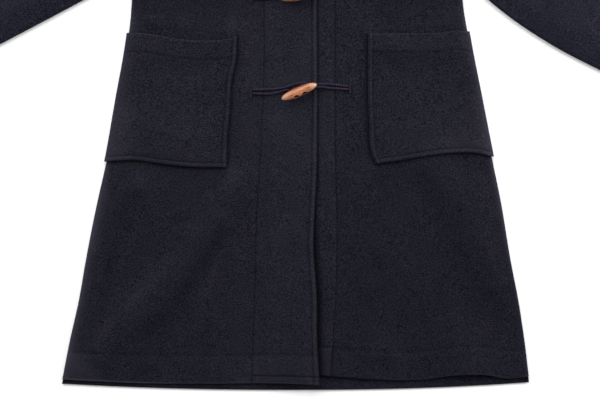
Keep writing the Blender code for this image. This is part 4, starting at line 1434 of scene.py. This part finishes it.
    def stitch_lines(self, body: Body) -> list[Array]:
        """Find the lines of the topstitching.

        Args:
            body: the fronts.

        Returns:
            Points along the inner edge, the bottom edge and the hem of the mouth.
        """
        spread = self.spread(body, np.ones(1), np.array([0.5]))
        width, depth = float(spread[2][0]), float(spread[3][0])
        inner, low = 1.0 - self.stitch_inset / width, self.stitch_inset / depth
        mouth = 1.0 - self.mouth_hem / depth
        start, end = self.stitch_ends
        steps = np.linspace(0.0, 1.0, self.stitch_count)
        level = np.ones(self.stitch_count)
        runs = (
            (inner * level, low + (end - low) * steps),
            (start + (inner - start) * steps, low * level),
            (start + (inner - start) * steps, mouth * level),
        )
        lines = []
        for across, up in runs:
            inset, station, _, _ = self.spread(body, across, up)
            out = self.rise + self.swell(across, up) - self.stitch_sink
            lines.append(body.front_point(self.side, inset, station, 0.0, out))
        lines[2][:, 2] += self.mouth_stitch_lift
        return lines


@dataclass(frozen=True)
class Sleeve:
    """Set-in sleeve lying flat: a flattened tube from the armhole to the cuff.

    The table's rows are a share of the length, then the under edge and the upper edge in plan there.
    """

    side: Side
    table: tuple[tuple[float, ...], ...]
    folds: tuple[Crease, ...]
    creases: tuple[Crease, ...]
    length: float = 620.0
    seam_gap: float = 0.04
    cap_share: float = 0.35
    phase: float = 5.1
    unevenness: float = 1.3
    cuff_hem: float = 32.0
    cuff_row: Groove = Groove(0.5, 1.6, 0.5, 0.9)
    cuff_rise: Change = Change((0, 4), (0, 0.4))
    cuff_round: Place = (2.6, 1.6)
    armhole_round: Place = (2.4, 1.3)
    armhole_dark: Point = (0.0, 1.0, 0.6)
    # Painted light over the sleeve, painted shade near its edges and painted sheen on them
    nap: float = 0.07
    edge_painted_tone: Point = (6.0, 18.0, -0.20)
    edge_sheen: Place = (1.6, 0.5)
    rings: tuple[Run, ...] = ((0.0, 0.02, 6), (0.02, 0.93, 112), (0.93, 1.0, 26))
    flat_steps: int = 40
    end_steps: int = 9
    bow_steps: int = 120
    bow_start: float = ARMPIT - 20.0

    def edges(self, along: float) -> Array:
        """Under edge and upper edge in plan at a share of the length."""
        places, *columns = np.array(self.table).T
        return np.array([Profile(tuple(zip(places, column)))(along) for column in columns]).reshape(2, 2)

    def cloth(self, body: Body) -> Cloth:
        """Lay out the sleeve.

        Args:
            body: the fronts, whose armhole it is set in.

        Returns:
            The cloth of the sleeve, as a tube.
        """
        places = spaced(*self.rings)
        share = np.linspace(0.0, 1.0, self.flat_steps)
        rings, lengths = [], []
        for along in places:
            under, upper = self.edges(along)
            cap = (1.0 - min(along / self.cap_share, 1.0)) ** 2
            length = np.linalg.norm(upper - under)
            across = ROLL / length + share * (1.0 - 2.0 * ROLL / length)
            line = under + across[:, None] * (upper - under)
            line[:, 0] += cap * self.bow(body, across)
            rings.append(self.section(line, (upper - under) / length))
            lengths.append(length)
        rows = np.stack(rings)
        x, height = rows[..., 0], rows[..., 1]
        start, reach = self.length * places[:, None], self.length * (1.0 - places)[:, None]
        middle = (rows[:, :1, :2] + rows[:, self.flat_steps - 1 : self.flat_steps, :2]) / 2.0
        from_middle = np.linalg.norm(rows[..., :2] - middle, axis=-1)
        inset = np.maximum(np.array(lengths)[:, None] / 2.0 - from_middle, 0.0)
        rise = total_rise((*self.folds, *self.creases), x, height)
        rise = rise + self.unevenness * EASE.height(x, height, self.phase * self.side.sign)
        rise = rise * (1.0 - bell(inset, body.fold_margin))
        rise = rise + self.cuff_row.rise(reach - self.cuff_hem) + self.cuff_rise(self.cuff_hem - reach)
        rise = rise + rounded(reach, *self.cuff_round) + rounded(start, *self.armhole_round)
        rows[..., 2] += rise * np.clip(2.0 * rows[..., 2] / ROLL_TOP - 1.0, 0.0, 1.0)
        # Painted shade in the cuff row and the armhole seam
        dark = self.cuff_row.shade(reach - self.cuff_hem) + mound(start, *self.armhole_dark)
        dark = np.broadcast_to(dark, x.shape)
        # Painted light, shade and sheen of the sleeve
        nap = self.nap + mound(inset, *self.edge_painted_tone) + painted_edge_light(inset, *self.edge_sheen)
        name = f"sleeve_{self.side.value}_cloth"
        return Cloth(name, rows, dark, nap, flip=self.side is Side.RIGHT, tube=True)

    def bow(self, body: Body, across: Array) -> Array:
        """Find how far the armhole lies beside the straight line across the sleeve's start.

        Args:
            body: the fronts.
            across: shares of the way from the under edge to the upper one.

        Returns:
            Distances across the coat.
        """
        station = np.linspace(self.bow_start, NECK_POINT, self.bow_steps)
        half = body.half(self.side, station)
        height = body.height(station, 0.0, body.top_edge(half, 0.0))
        (under_x, under_y), (upper_x, upper_y) = self.edges(0.0)
        level = under_y + across * (upper_y - under_y)
        armhole = self.side.sign * (np.interp(level, height, half) + self.seam_gap)
        return armhole - (under_x + across * (upper_x - under_x))

    def section(self, inner: Array, run: Array) -> Array:
        """Close a line on the surface into a flattened tube's section.

        Args:
            inner: points in plan where the tube is flat, from the under edge to the upper one.
            run: direction from the under edge to the upper one.

        Returns:
            Points along the surface, up round the far end, back over the top and down the near end.
        """
        angles = math.pi * (np.arange(self.end_steps) + 1.0) / (self.end_steps + 1.0)
        out, up = ROLL * np.sin(angles), ROLL_TOP / 2.0 * (1.0 - np.cos(angles))
        bottom = np.column_stack([inner, np.zeros(len(inner))])
        far_end = np.column_stack([inner[-1] + out[:, None] * run, up])
        top = np.column_stack([inner[::-1], np.full(len(inner), ROLL_TOP)])
        near_end = np.column_stack([inner[0] - out[:, None] * run, up])[::-1]
        return np.concatenate([bottom, far_end, top, near_end])


@dataclass(frozen=True)
class Hood:
    """Half of the hood lying flat: out from the crown seam, round the outline and back to the face edge.

    The table's rows are a turn from the neck to the crown, the height of the seam in the middle, then
    the outline and the face edge in plan there.
    """

    side: Side
    table: tuple[tuple[float, ...], ...] = (
        (0, 846, 88, 862, 4, 790),
        (0.2, 882, 126, 905, 42, 842),
        (0.4, 920, 148, 975, 66, 912),
        (0.6, 962, 144, 1052, 70, 985),
        (0.8, 1000, 110, 1122, 52, 1046),
        (0.9, 1016, 62, 1154, 29, 1074),
        (1, 1026, 0, 1166, 0, 1084),
        (1.1, 1016, -62, 1154, -29, 1074),
    )
    half_gap: float = 0.03
    back_gap: float = 0.06
    front_gap: float = 0.9
    neck_turn: float = 0.3
    sink: Span = (0.1, 0.8)
    face_welt: float = 9.0
    face_puff: float = 0.8
    face_row: Groove = Groove(0.8, 1.2, 0.7, 0.9)
    face_round: Place = (2.6, 1.6)
    crown_round: Place = (2.0, 0.8)
    crown_dark: Point = (0.0, 0.8, 0.5)
    crown_margin: float = 20.0
    face_margin: float = 10.0
    over_start: float = 1.0 / 6.0
    phase: float = 2.2
    unevenness: float = 2.2
    outline_sheen: Place = (6.0, 0.5)
    far_from_face: float = 400.0
    turns: tuple[Run, ...] = ((0.0, 0.8, 52), (0.8, 1.0, 30))
    under_columns: int = 22
    end_columns: int = 9
    over_columns: tuple[Run, ...] = ((0.0, 0.84, 20), (0.84, 1.0, 16))

    def lines(self, turn: Array) -> tuple[Array, Array, Array]:
        """Find the half's lines in plan.

        Args:
            turn: turns from the neck to the crown.

        Returns:
            Points of the seam in the middle, the outline and the face edge.
        """
        places, *columns = np.array(self.table).T
        centre_y, outline_x, outline_y, face_x, face_y = (
            Profile(tuple(zip(places, column)))(turn) for column in columns
        )
        centre_x = np.full_like(turn, self.half_gap)
        pairs = (
            (centre_x, centre_y),
            (np.maximum(outline_x, self.half_gap), outline_y),
            (np.maximum(face_x, self.half_gap), face_y),
        )
        return tuple(np.stack([self.side.sign * x, y], axis=-1) for x, y in pairs)

    def cloth(self, body: Body) -> Cloth:
        """Lay out the half.

        Args:
            body: the back and fronts, whose neck edge it is sewn to.

        Returns:
            The cloth of the half.
        """
        turn = spaced(*self.turns)[:, None]
        centre, outline, face = self.lines(turn)
        length = np.linalg.norm(face - outline, axis=-1)
        out = (outline - centre) / np.linalg.norm(outline - centre, axis=-1, keepdims=True)
        back = (face - outline) / length[..., None]
        share = np.linspace(0.0, 1.0, self.under_columns)[None, :, None]
        under = centre + share * (outline - out * ROLL - centre)
        over_share = spaced(*self.over_columns)[None, :]
        over = outline + back * ROLL + over_share[..., None] * (face - outline - back * ROLL)
        angle = math.pi * np.arange(1, self.end_columns + 1)[None, :] / (self.end_columns + 1.0)
        towards = np.where(angle[..., None] < math.pi / 2.0, -out, back)
        end = outline + towards * ROLL * (1.0 - np.sin(angle[..., None]))
        fade = (1.0 - np.clip(turn / self.neck_turn, 0.0, 1.0)) ** 2
        under[..., 1] += fade * self.neck_lift(body, under, body.back_neck_drop) + self.back_gap
        over[..., 1] += fade * self.neck_lift(body, over, body.front_neck_drop) + self.front_gap
        end[..., 1] += self.back_gap
        flat = np.concatenate([under, end, over], axis=1)
        sink = (ROLL_TOP - REST_TOP) * ramp(over_share, *self.sink)
        heights = (np.zeros((1, self.under_columns)), ROLL_TOP / 2.0 * (1.0 - np.cos(angle)), ROLL_TOP - sink)
        z = np.concatenate(heights, axis=1) * np.ones_like(turn)
        first = z.shape[1] - over_share.size
        face_gap, on_top = np.full(z.shape, self.far_from_face), np.zeros(z.shape)
        face_gap[:, first:] = (1.0 - over_share) * length
        on_top[:, first:] = ramp(over_share, 0.0, self.over_start)
        x, height = flat[..., 0], flat[..., 1]
        crown = np.maximum(np.abs(x) - self.half_gap, 0.0)
        face_row = face_gap - self.face_welt
        z = z + welt(face_gap, self.face_welt, self.face_puff) + self.face_row.rise(face_row)
        soft = EASE.height(x, height, self.phase * self.side.sign) * (1.0 - bell(face_gap, self.face_margin))
        soft = self.unevenness * soft * ramp(crown, 0.0, self.crown_margin)
        z = z + rounded(face_gap, *self.face_round) + (soft + rounded(crown, *self.crown_round)) * on_top
        # Painted shade in the face row and the crown seam
        dark = self.face_row.shade(face_row) + mound(crown, *self.crown_dark)
        # Painted sheen along the hood's outline
        nap = painted_edge_light(np.linalg.norm(flat - outline, axis=-1), *self.outline_sheen)
        rows = np.concatenate([flat, z[..., None]], axis=-1)
        name = f"hood_{self.side.value}_cloth"
        return Cloth(name, rows, dark, nap, flip=self.side is Side.LEFT, even=False)

    @staticmethod
    def neck_lift(body: Body, panel: Array, drop: float) -> Array:
        """Height of a panel's neck edge above the hood's first row, which is straight."""
        return body.top_edge(panel[:1, :, 0], drop) - panel[:1, :, 1]


@dataclass(frozen=True)
class Fastening:
    """One toggle with its loop, its strap and the bars that hold them.

    Rows of a cord's route are across, up from the toggle's height, and lift above the cloth.
    """

    number: int
    turn: float
    height: float
    x: float = 3.5
    clearance: float = 14.1
    form: TurnedForm = TurnedForm()
    rings: int = 39
    ring_steps: int = 36
    edge_width: float = 0.25
    edge_angle: float = math.radians(38.0)
    hole_offset: float = 5.6
    hole_radius: float = 2.3
    hole_lean: float = math.radians(50.0)
    drill_steps: int = 24
    tunnel_radius: float = 2.1
    tunnel_out: float = 2.8
    tunnel_length: float = 10.2
    mouth: Point = (4.1, 2.5, 2.6)
    mouth_sink: float = 0.4
    mouth_drop: float = 0.8
    mouth_fall: float = -0.7
    cord_radius: float = 1.7
    cord_gap: float = 0.4
    bar: Point = (4.0, 12.0, 3.2)
    bar_margin: float = 0.5
    loop_bar: Place = (-59.2, -1.4)
    strap_bar: Place = (69.4, 4.6)
    foot_drop: float = 2.2
    foot_run: float = 5.5
    strap_near_x: float = 21.0
    strap_near: Place = (1.6, -2.2)
    strand_gap: float = 3.8
    strap_ends: Place = (7.7, 3.8)
    strap_upper: tuple[Point, ...] = ((44.0, 10.3, 0.4), (31.5, 10.4, 4.8))
    strap_lower: tuple[Point, ...] = ((31.5, 6.6, 4.8), (44.0, 5.4, 0.4))
    loop_ends: Place = (3.3, -1.4)
    loop_route: tuple[Point, ...] = (
        (-33, 3.8, 0), (-18, 5.4, 0), (-7, 8.6, 0.8), (5, 11.6, 3.8), (13.5, 10.4, 3.8),
        (17, 5.2, 3.8), (13.5, -0.6, 3.8), (1, -4.6, 2), (-8.4, -1, 0.1), (-11.4, 2.6, 0),
        (-17.4, 1.6, 0), (-25, -0.6, 0), (-36, -2.2, 0),
    )

    def on_cloth(self, body: Body, x: float, height: float, lift: float = 0.0) -> Vector:
        """Centre of a cord that lies on the fronts."""
        return Vector((x, height, body.under(x, height) + self.cord_gap + self.cord_radius + lift))

    def along(self, body: Body, rows: Iterable[Point]) -> list[Vector]:
        """Centres of a cord at rows of its route."""
        return [self.on_cloth(body, x, self.height + up, lift) for x, up, lift in rows]

    def centre(self, body: Body) -> Vector:
        """Middle of the toggle."""
        return Vector((self.x, self.height, body.under(self.x, self.height) + self.clearance))

    def heading(self) -> Vector:
        """Direction of the toggle's length."""
        return Vector((math.cos(self.turn), math.sin(self.turn), 0.0))

    def out(self) -> Vector:
        """Direction in which the toggle's holes come out on top."""
        upwards = Vector((-math.sin(self.turn), math.cos(self.turn), 0.0))
        return Vector((0.0, 0.0, math.cos(self.hole_lean))) - upwards * math.sin(self.hole_lean)

    def holes(self, body: Body) -> tuple[Vector, Vector]:
        """Middles of the toggle's two holes, the one nearer the strap's bar first."""
        centre, heading = self.centre(body), self.heading()
        return centre + heading * self.hole_offset, centre - heading * self.hole_offset

    def strap_line(self, body: Body) -> Array:
        """Line of the cord that carries the toggle: from the bar, through both holes and back."""
        out = self.out()
        near, far = self.holes(body)
        near_foot, far_foot = (place - out * (self.form.radius + self.foot_drop) for place in (near, far))
        inside = out * self.tunnel_out
        strap_x = self.strap_bar[0] - self.bar[0] / 2.0 - SEAM_GAP
        near_x, low = self.strap_near_x, near_foot.y - self.strand_gap
        route = self.along(body, ((strap_x, self.strap_ends[0], 0.0), *self.strap_upper))
        route += [
            self.on_cloth(body, near_x, near_foot.y + self.strap_near[0], self.cord_gap),
            self.on_cloth(body, near_foot.x + self.foot_run, near_foot.y, self.cord_gap),
            near_foot, near, near + inside, self.centre(body) + inside, far + inside, far, far_foot,
            self.on_cloth(body, far_foot.x + self.foot_run, low, self.cord_gap),
            self.on_cloth(body, near_x, near_foot.y + self.strap_near[1], self.cord_gap),
        ]
        route += self.along(body, (*self.strap_lower, (strap_x, self.strap_ends[1], 0.0)))
        return smooth_route(route)

    def loop_line(self, body: Body) -> Array:
        """Line of the cord that goes over the toggle."""
        loop_x = self.loop_bar[0] + self.bar[0] / 2.0 + SEAM_GAP
        first, last = ((loop_x, up, 0.0) for up in self.loop_ends)
        return smooth_route(self.along(body, (first, *self.loop_route, last)))

    def bar_centre(self, body: Body, place: Place) -> Vector:
        """Middle of a bar whose place is across, and up from the toggle's height."""
        width, length, depth = self.bar
        x, height = place[0], self.height + place[1]
        ends = (height - length / 2.0, height, height + length / 2.0)
        under = max(body.under(edge, end) for edge in (x - width / 2.0, x + width / 2.0) for end in ends)
        return Vector((x, height, under + self.cord_gap + depth / 2.0))

    def toggle(self, body: Body) -> bpy.types.Object:
        """Make the turned toggle with its two cord holes, over the fronts that it lies on."""
        name = f"toggle_{self.number}_turned"
        form, count = self.form, self.ring_steps
        along = form.half_length * np.cos(np.linspace(0.0, math.pi, self.rings + 2))
        reach = form.radius * form.reach(np.minimum(np.abs(along) / form.half_length, 1.0))
        turned = Matrix.Rotation(self.turn, 3, "Z")
        work = bmesh.new()
        rings = []
        for place, radius in zip(along[1:-1], reach[1:-1]):
            spins = (2.0 * math.pi * step / count for step in range(count))
            ring = (Vector((place, radius * math.cos(spin), radius * math.sin(spin))) for spin in spins)
            rings.append([work.verts.new(turned @ offset * MM) for offset in ring])
        tips = [work.verts.new(self.heading() * form.half_length * sign * MM) for sign in (1.0, -1.0)]
        steps = [(step, (step + 1) % count) for step in range(count)]
        for first, last in zip(rings, rings[1:]):
            for step, following in steps:
                work.faces.new((first[step], first[following], last[following], last[step]))
        for step, following in steps:
            work.faces.new((tips[0], rings[0][following], rings[0][step]))
            work.faces.new((tips[1], rings[-1][step], rings[-1][following]))
        bmesh.ops.recalc_face_normals(work, faces=work.faces)
        mesh = mesh_of(name, work)
        origin = world_point(self.centre(body))
        mesh.transform(Matrix.Translation(origin))
        wood = ToggleWood(f"toggle wood {self.number}", tuple(origin), self.turn, form)
        mesh.materials.append(wood.build())
        made = linked(name, mesh)
        self.bore(body, made)
        return made

    def bore(self, body: Body, made: bpy.types.Object) -> None:
        """Cut the holes, their worn mouths and the tunnel that joins them, and ease the edges.

        Args:
            body: the fronts that the toggle lies on.
            made: the toggle.
        """
        out = self.out()
        lean, flat = (self.hole_lean, 0.0, self.turn), (0.0, math.pi / 2.0, self.turn)
        near, far = self.holes(body)
        tunnel = self.centre(body) + out * self.tunnel_out
        down = Vector((math.sin(self.turn), -math.cos(self.turn), self.mouth_fall)) * self.mouth_drop
        rim = out * (self.form.radius - self.mouth_sink)
        drills = [self.drill(place, lean, self.hole_radius, 4.0 * self.form.radius) for place in (far, near)]
        drills.append(self.drill(tunnel, flat, self.tunnel_radius, self.tunnel_length))
        drills += [self.mouth_cutter(place + rim + down, lean) for place in (near, far)]
        for drill in drills:
            opening = made.modifiers.new("Hole", "BOOLEAN")
            opening.operation = "DIFFERENCE"
            opening.object = drill
        edge = made.modifiers.new("Edge", "BEVEL")
        edge.width = self.edge_width * MM
        edge.segments = 2
        edge.angle_limit = self.edge_angle
        applied(made)
        for drill in drills:
            bpy.data.objects.remove(drill, do_unlink=True)

    def mouth_cutter(self, place: Vector, rotation: Point) -> bpy.types.Object:
        """Make the cutter of a hole's worn mouth, long along the toggle."""
        work = bmesh.new()
        bmesh.ops.create_icosphere(work, subdivisions=3, radius=1.0)
        bmesh.ops.scale(work, vec=Vector(self.mouth) * MM, verts=work.verts)
        return self.cutter(work, place, rotation)

    def drill(self, place: Vector, rotation: Point, radius: float, depth: float) -> bpy.types.Object:
        """Make a round cutter along its own Z axis."""
        work = bmesh.new()
        size = {"radius1": radius * MM, "radius2": radius * MM, "depth": depth * MM}
        bmesh.ops.create_cone(work, cap_ends=True, segments=self.drill_steps, **size)
        return self.cutter(work, place, rotation)

    @staticmethod
    def cutter(work: bmesh.types.BMesh, place: Vector, rotation: Point) -> bpy.types.Object:
        """Make a cutter of a given form."""
        made = linked("cutter", mesh_of("cutter", work))
        made.location = world_point(place)
        made.rotation_euler = rotation
        return made


@dataclass(frozen=True)
class Studio:
    """Pale floor, soft light and the camera over the coat; places of lights are in metres."""

    view: Place = (4.6, 234.7)
    view_width: float = 780.0
    camera_height: float = 3200.0
    clip_end: float = 100.0
    sensor: float = 36.0
    floor_half: float = 12.0
    floor_drop: float = 0.0004
    key_place: Point = (-0.95, 1.62, 1.72)
    key_size: float = 3.6
    key_power: float = 130.0
    fill_place: Point = (1.7, 0.5, 0.9)
    fill_size: float = 1.4
    fill_power: float = 41.0
    sky: float = 0.444

    def build(self) -> None:
        """Make the floor, lights, world and camera."""
        scene = bpy.context.scene
        bpy.ops.mesh.primitive_plane_add(size=2.0 * self.floor_half, location=(0.0, 0.0, -self.floor_drop))
        floor = bpy.context.object
        floor.name = "floor"
        floor.data.materials.append(StudioFloor().build())
        target = world_point(Vector((*self.view, 0.0)))
        self.light("key light", self.key_place, self.key_size, self.key_power, target)
        self.light("fill light", self.fill_place, self.fill_size, self.fill_power, target)
        world = bpy.data.worlds.new("studio")
        scene.world = world
        world.use_nodes = True
        ground = world.node_tree.nodes["Background"]
        Tree(world.node_tree).feed(ground, {"Color": (1.0, 1.0, 1.0, 1.0), "Strength": self.sky})
        camera = bpy.data.cameras.new("camera")
        camera.sensor_width = self.sensor
        camera.sensor_fit = "HORIZONTAL"
        camera.lens = self.sensor * (self.camera_height - REST_TOP) / self.view_width
        camera.clip_end = self.clip_end
        holder = linked("camera", camera)
        holder.location = target + Vector((0.0, 0.0, self.camera_height * MM))
        scene.camera = holder
        scene.view_settings.view_transform = "Standard"

    @staticmethod
    def light(name: str, place: Point, size: float, power: float, target: Vector) -> None:
        """Make a square area light.

        Args:
            name: its name.
            place: where it stands, in metres.
            size: length of its sides, in metres.
            power: its power in watts.
            target: where it points.
        """
        data = bpy.data.lights.new(name, "AREA")
        data.size = size
        data.energy = power
        lamp = linked(name, data)
        lamp.location = place
        lamp.rotation_euler = (target - Vector(place)).to_track_quat("-Z", "Y").to_euler()
        lamp.visible_camera = False


# Each pocket: its top, bottom and inner edge, then its dents and its strokes of painted light and shade
POCKETS = (
    Pocket(
        Side.RIGHT,
        Profile((
            (-222, 464), (-203, 464), (-177, 460.5), (-158, 457), (-119, 454.4), (-93, 455.7),
            (-77, 460.2),
        )),
        Profile(((-245, 297), (-212, 298.5), (-177, 293.8), (-142, 290), (-91, 289))),
        Profile(((290, -91), (334, -89.5), (364, -86.5), (403, -84), (429, -78.5), (460, -77))),
        crease_rows(
            (-200, 420, -160, 412, -110, 424, 12, -0.45), (-206, 352, -168, 336, -128, 330, 13, 0.9),
            (-120, 436, -112, 400, -104, 372, 8, 0.6), (-226, 440, -192, 438, -158, 432, 14, 1.5),
            (-226, 326, -212, 350, -204, 384, 8, 0.7),
        ),
        crease_rows(
            (-150, 380, -140, 340, -138, 300, 26, 0.03), (-222, 360, -228, 330, -234, 296, 15, 0.13),
        ),
    ),
    Pocket(
        Side.LEFT,
        Profile(((93, 464), (134, 463.7), (177, 463.7), (221, 465.5), (230, 462.5))),
        Profile(((103, 293.8), (134, 298), (164, 303.3), (199, 307.5), (238, 306.8), (256, 302))),
        Profile(((294, 103.5), (303, 99.5), (355, 94.3), (464, 93))),
        crease_rows(
            (110, 424, 150, 414, 200, 422, 12, -0.7), (112, 336, 156, 340, 206, 358, 13, 0.9),
            (218, 404, 226, 370, 236, 340, 8, 0.7), (104, 446, 160, 442, 220, 446, 15, 1.8),
            (118, 392, 126, 362, 122, 330, 8, 0.6),
        ),
        crease_rows(
            (112, 424, 170, 418, 226, 404, 16, -0.14), (200, 318, 220, 314, 240, 316, 12, 0.10),
            (192, 330, 214, 334, 238, 346, 22, 0.04),
        ),
    ),
)

# Each sleeve: its table, then its folds and its fine creases
SLEEVES = (
    Sleeve(
        Side.RIGHT,
        (
            (0, -214, 540, -196.5, 808),
            (0.15, -262, 515, -275, 758),
            (0.35, -333, 477, -385, 677),
            (0.60, -433, 425, -515, 583),
            (0.80, -522, 380, -602, 521),
            (1, -612, 334, -690, 460),
        ),
        crease_rows(
            (-236, 590, -286, 566, -342, 534, 13, 2.6), (-226, 700, -262, 640, -292, 604, 16, 2),
            (-438, 462, -462, 498, -468, 532, 10, 2.2), (-470, 448, -498, 478, -508, 508, 9, 1.6),
        ),
        crease_rows(
            (-240, 566, -274, 540, -310, 514, 7, 1.3), (-250, 612, -298, 600, -340, 572, 8, -1.1),
            (-300, 680, -330, 640, -342, 600, 9, 1.1), (-360, 640, -384, 610, -400, 560, 8, -0.9),
            (-404, 470, -430, 500, -434, 540, 7, 1.2), (-496, 424, -530, 450, -548, 486, 8, 1),
            (-560, 386, -580, 420, -596, 452, 8, -0.8), (-340, 500, -372, 496, -404, 470, 7, 0.9),
        ),
    ),
    Sleeve(
        Side.LEFT,
        (
            (0, 215.5, 540, 197.5, 808),
            (0.15, 262, 497, 275, 750),
            (0.35, 330, 450, 385, 656),
            (0.60, 427, 400, 510, 558),
            (0.80, 514, 355, 597, 494),
            (1, 604, 309, 684, 430),
        ),
        crease_rows(
            (238, 582, 284, 548, 336, 508, 13, 2.8), (228, 694, 262, 630, 290, 586, 16, 2),
            (428, 440, 452, 474, 462, 508, 10, 2.2), (474, 412, 496, 442, 504, 470, 9, 1.6),
        ),
        crease_rows(
            (240, 552, 276, 520, 312, 488, 7, 1.3), (250, 606, 300, 582, 340, 546, 8, -1.1),
            (300, 664, 328, 620, 338, 578, 9, 1.1), (362, 618, 384, 584, 398, 536, 8, -0.9),
            (398, 446, 424, 478, 428, 516, 7, 1.2), (494, 396, 526, 420, 544, 458, 8, 1),
            (556, 358, 576, 390, 590, 424, 8, -0.8), (340, 474, 370, 468, 400, 444, 7, 0.9),
        ),
    ),
)


@dataclass
class Coat:
    """The whole coat: it builds each piece, dresses it and hands it to the frame.

    Each kind of cloth piece has the width and length that it is cut to and its share of that rectangle.
    """

    body: Body = field(default_factory=Body)
    pockets: tuple[Pocket, ...] = POCKETS
    sleeves: tuple[Sleeve, ...] = SLEEVES
    back_cut: Point = (610.0, 864.0, 0.80)
    front_cut: Point = (340.0, 862.0, 0.76)
    pocket_cut: Point = (160.0, 172.0, 1.0)
    sleeve_cut: Point = (560.0, 600.0, 0.80)
    hood_cut: Point = (240.0, 340.0, 0.80)
    sleeve_nap: Colour = (0.0194, 0.0193, 0.0319, 1.0)
    wool_shift: float = 0.37
    pieces: int = 0
    turns: tuple[float, ...] = (23.0, 9.0, 14.0, 19.0)
    first_toggle: float = 387.0
    toggle_spacing: float = 124.0
    cord_lay: float = 9.5
    cord_step: float = 0.9
    wrap: Place = (0.8, 1.15)
    stitch: Point = (4.2, 3.1, 0.55)
    stitch_lift: float = 0.12
    edge_stitch: Run = (16.0, 786.0, 260)
    hem_stitch: Run = (-57.0, 24.0, 40)
    thread_dark: Colour = (0.0020, 0.0020, 0.0038, 1.0)
    thread_light: Colour = (0.0075, 0.0073, 0.0120, 1.0)

    def dress(self, cloth: Cloth, node: str, cut: Point) -> None:
        """Build a piece of cloth and put it in place of its solid.

        Args:
            cloth: the piece.
            node: the solid that it stands for.
            cut: width and length that the cloth is cut to, and the share of that rectangle; not used.
        """
        self.pieces += 1
        offset = tuple(self.wool_shift * self.pieces * part for part in (1.0, 2.0, 3.0))
        wool = Wool(f"napped navy wool {node}", offset)
        if node.startswith("sleeve"):
            wool = replace(wool, nap=self.sleeve_nap)
        made = cloth.build(wool.build())
        self.hand_over(made, [node], "wool")
        LOG.info("%s: %d faces", made.name, len(made.data.polygons))

    @staticmethod
    def hand_over(made: bpy.types.Object, nodes: list[str], slot: str) -> None:
        """Ride a finished piece on the coat, in place of its solids."""
        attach(made, "root")
        if nodes:
            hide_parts(*nodes)

    def cloth_pieces(self) -> None:
        """Build the back, fronts, pockets, sleeves and hood."""
        body = self.body
        self.dress(body.back(), "back", self.back_cut)
        for side, pocket in zip(Side, self.pockets):
            front = body.front(side, pocket)
            self.dress(front, f"front_{side.value}", self.front_cut)
        for pocket in self.pockets:
            name = pocket.side.value
            self.dress(pocket.cloth(body), f"pocket_{name}", self.pocket_cut)
        for sleeve in self.sleeves:
            self.dress(sleeve.cloth(body), f"sleeve_{sleeve.side.value}", self.sleeve_cut)
        for side in Side:
            self.dress(Hood(side).cloth(body), f"hood_{side.value}", self.hood_cut)

    def fastenings(self) -> None:
        """Build the toggles, cords and bars."""
        thread = CordFinish().build()
        cord, wrapping = TwistedCord(), StitchRow()
        for number, turn in enumerate(self.turns, 1):
            height = self.first_toggle + self.toggle_spacing * (number - 1)
            fastening = Fastening(number, math.radians(turn), height)
            self.hand_over(fastening.toggle(self.body), [f"toggle_{number}"], "toggle_wood")
            sizes = {"Radius": fastening.cord_radius, "Lay": self.cord_lay, "Step": self.cord_step}
            for kind, line in (("strap", fastening.strap_line), ("loop", fastening.loop_line)):
                made = line_object(f"{kind}_{number}_cord", [line(self.body)])
                self.hand_over(cord.run(made, {**sizes, "Material": thread}), [f"{kind}_{number}"], "cord")
            for kind, place in (("loop_bar", fastening.loop_bar), ("strap_bar", fastening.strap_bar)):
                made = self.bar(fastening, f"{kind}_{number}_wrapped", place, thread, wrapping)
                self.hand_over(made, [f"{kind}_{number}"], "cord")
            LOG.info("fastening %d done", number)

    def bar(
        self, fastening: Fastening, name: str, place: Place, thread: bpy.types.Material, wrapping: StitchRow
    ) -> bpy.types.Object:
        """Make a bar that is wrapped closely in thread.

        Args:
            fastening: the fastening that it belongs to.
            name: its name.
            place: across, and up from the toggle's height.
            thread: finish of the thread.
            wrapping: what lays the turns of thread.

        Returns:
            The bar.
        """
        centre = fastening.bar_centre(self.body, place)
        width, length, depth = fastening.bar
        half = length / 2.0 - fastening.bar_margin
        core = line_object(name, [np.array([(centre.x, centre.y + end, centre.z) for end in (-half, half)])])
        pitch, turn = self.wrap
        sizes = {"Pitch": pitch, "Length": turn, "Thickness": width, "Material": thread}
        made = wrapping.run(core, sizes)
        origin = Matrix.Translation(world_point(centre))
        made.data.transform(origin @ Matrix.Diagonal((1.0, 1.0, depth / width, 1.0)) @ origin.inverted())
        return made

    def stitching(self) -> None:
        """Sew the free edge, its hem and the pockets."""
        body = self.body
        height = np.linspace(*self.edge_stitch)
        x = np.linspace(*self.hem_stitch)
        lines = [
            self.on_upper_front(body.front_edge(height) - body.edge_welt, height),
            self.on_upper_front(x, body.hems[Side.RIGHT](x) + body.hem_welt),
        ]
        for pocket in self.pockets:
            lines += pocket.stitch_lines(body)
        thread = CordFinish("navy thread", self.thread_dark, self.thread_light).build()
        pitch, length, thickness = self.stitch
        sizes = {"Pitch": pitch, "Length": length, "Thickness": thickness, "Material": thread}
        made = StitchRow().run(line_object("topstitching", lines), sizes)
        self.hand_over(made, [], "cord")
        LOG.info("topstitching: %d faces", len(made.data.polygons))

    def on_upper_front(self, x: Array, height: Array) -> Array:
        """Lay a line on the upper front's outer face."""
        rise, _ = self.body.detail(Side.RIGHT, x, height)
        top = self.body.face(Side.RIGHT, x, height) + rise + self.stitch_lift
        return np.column_stack([x, height, top])


def main() -> None:
    """Dress the coat in order."""
    logging.basicConfig(level=logging.INFO, format="%(message)s")
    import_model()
    Studio().build()
    coat = Coat()
    coat.cloth_pieces()
    coat.fastenings()
    coat.stitching()


if __name__ == "__main__":
    main()
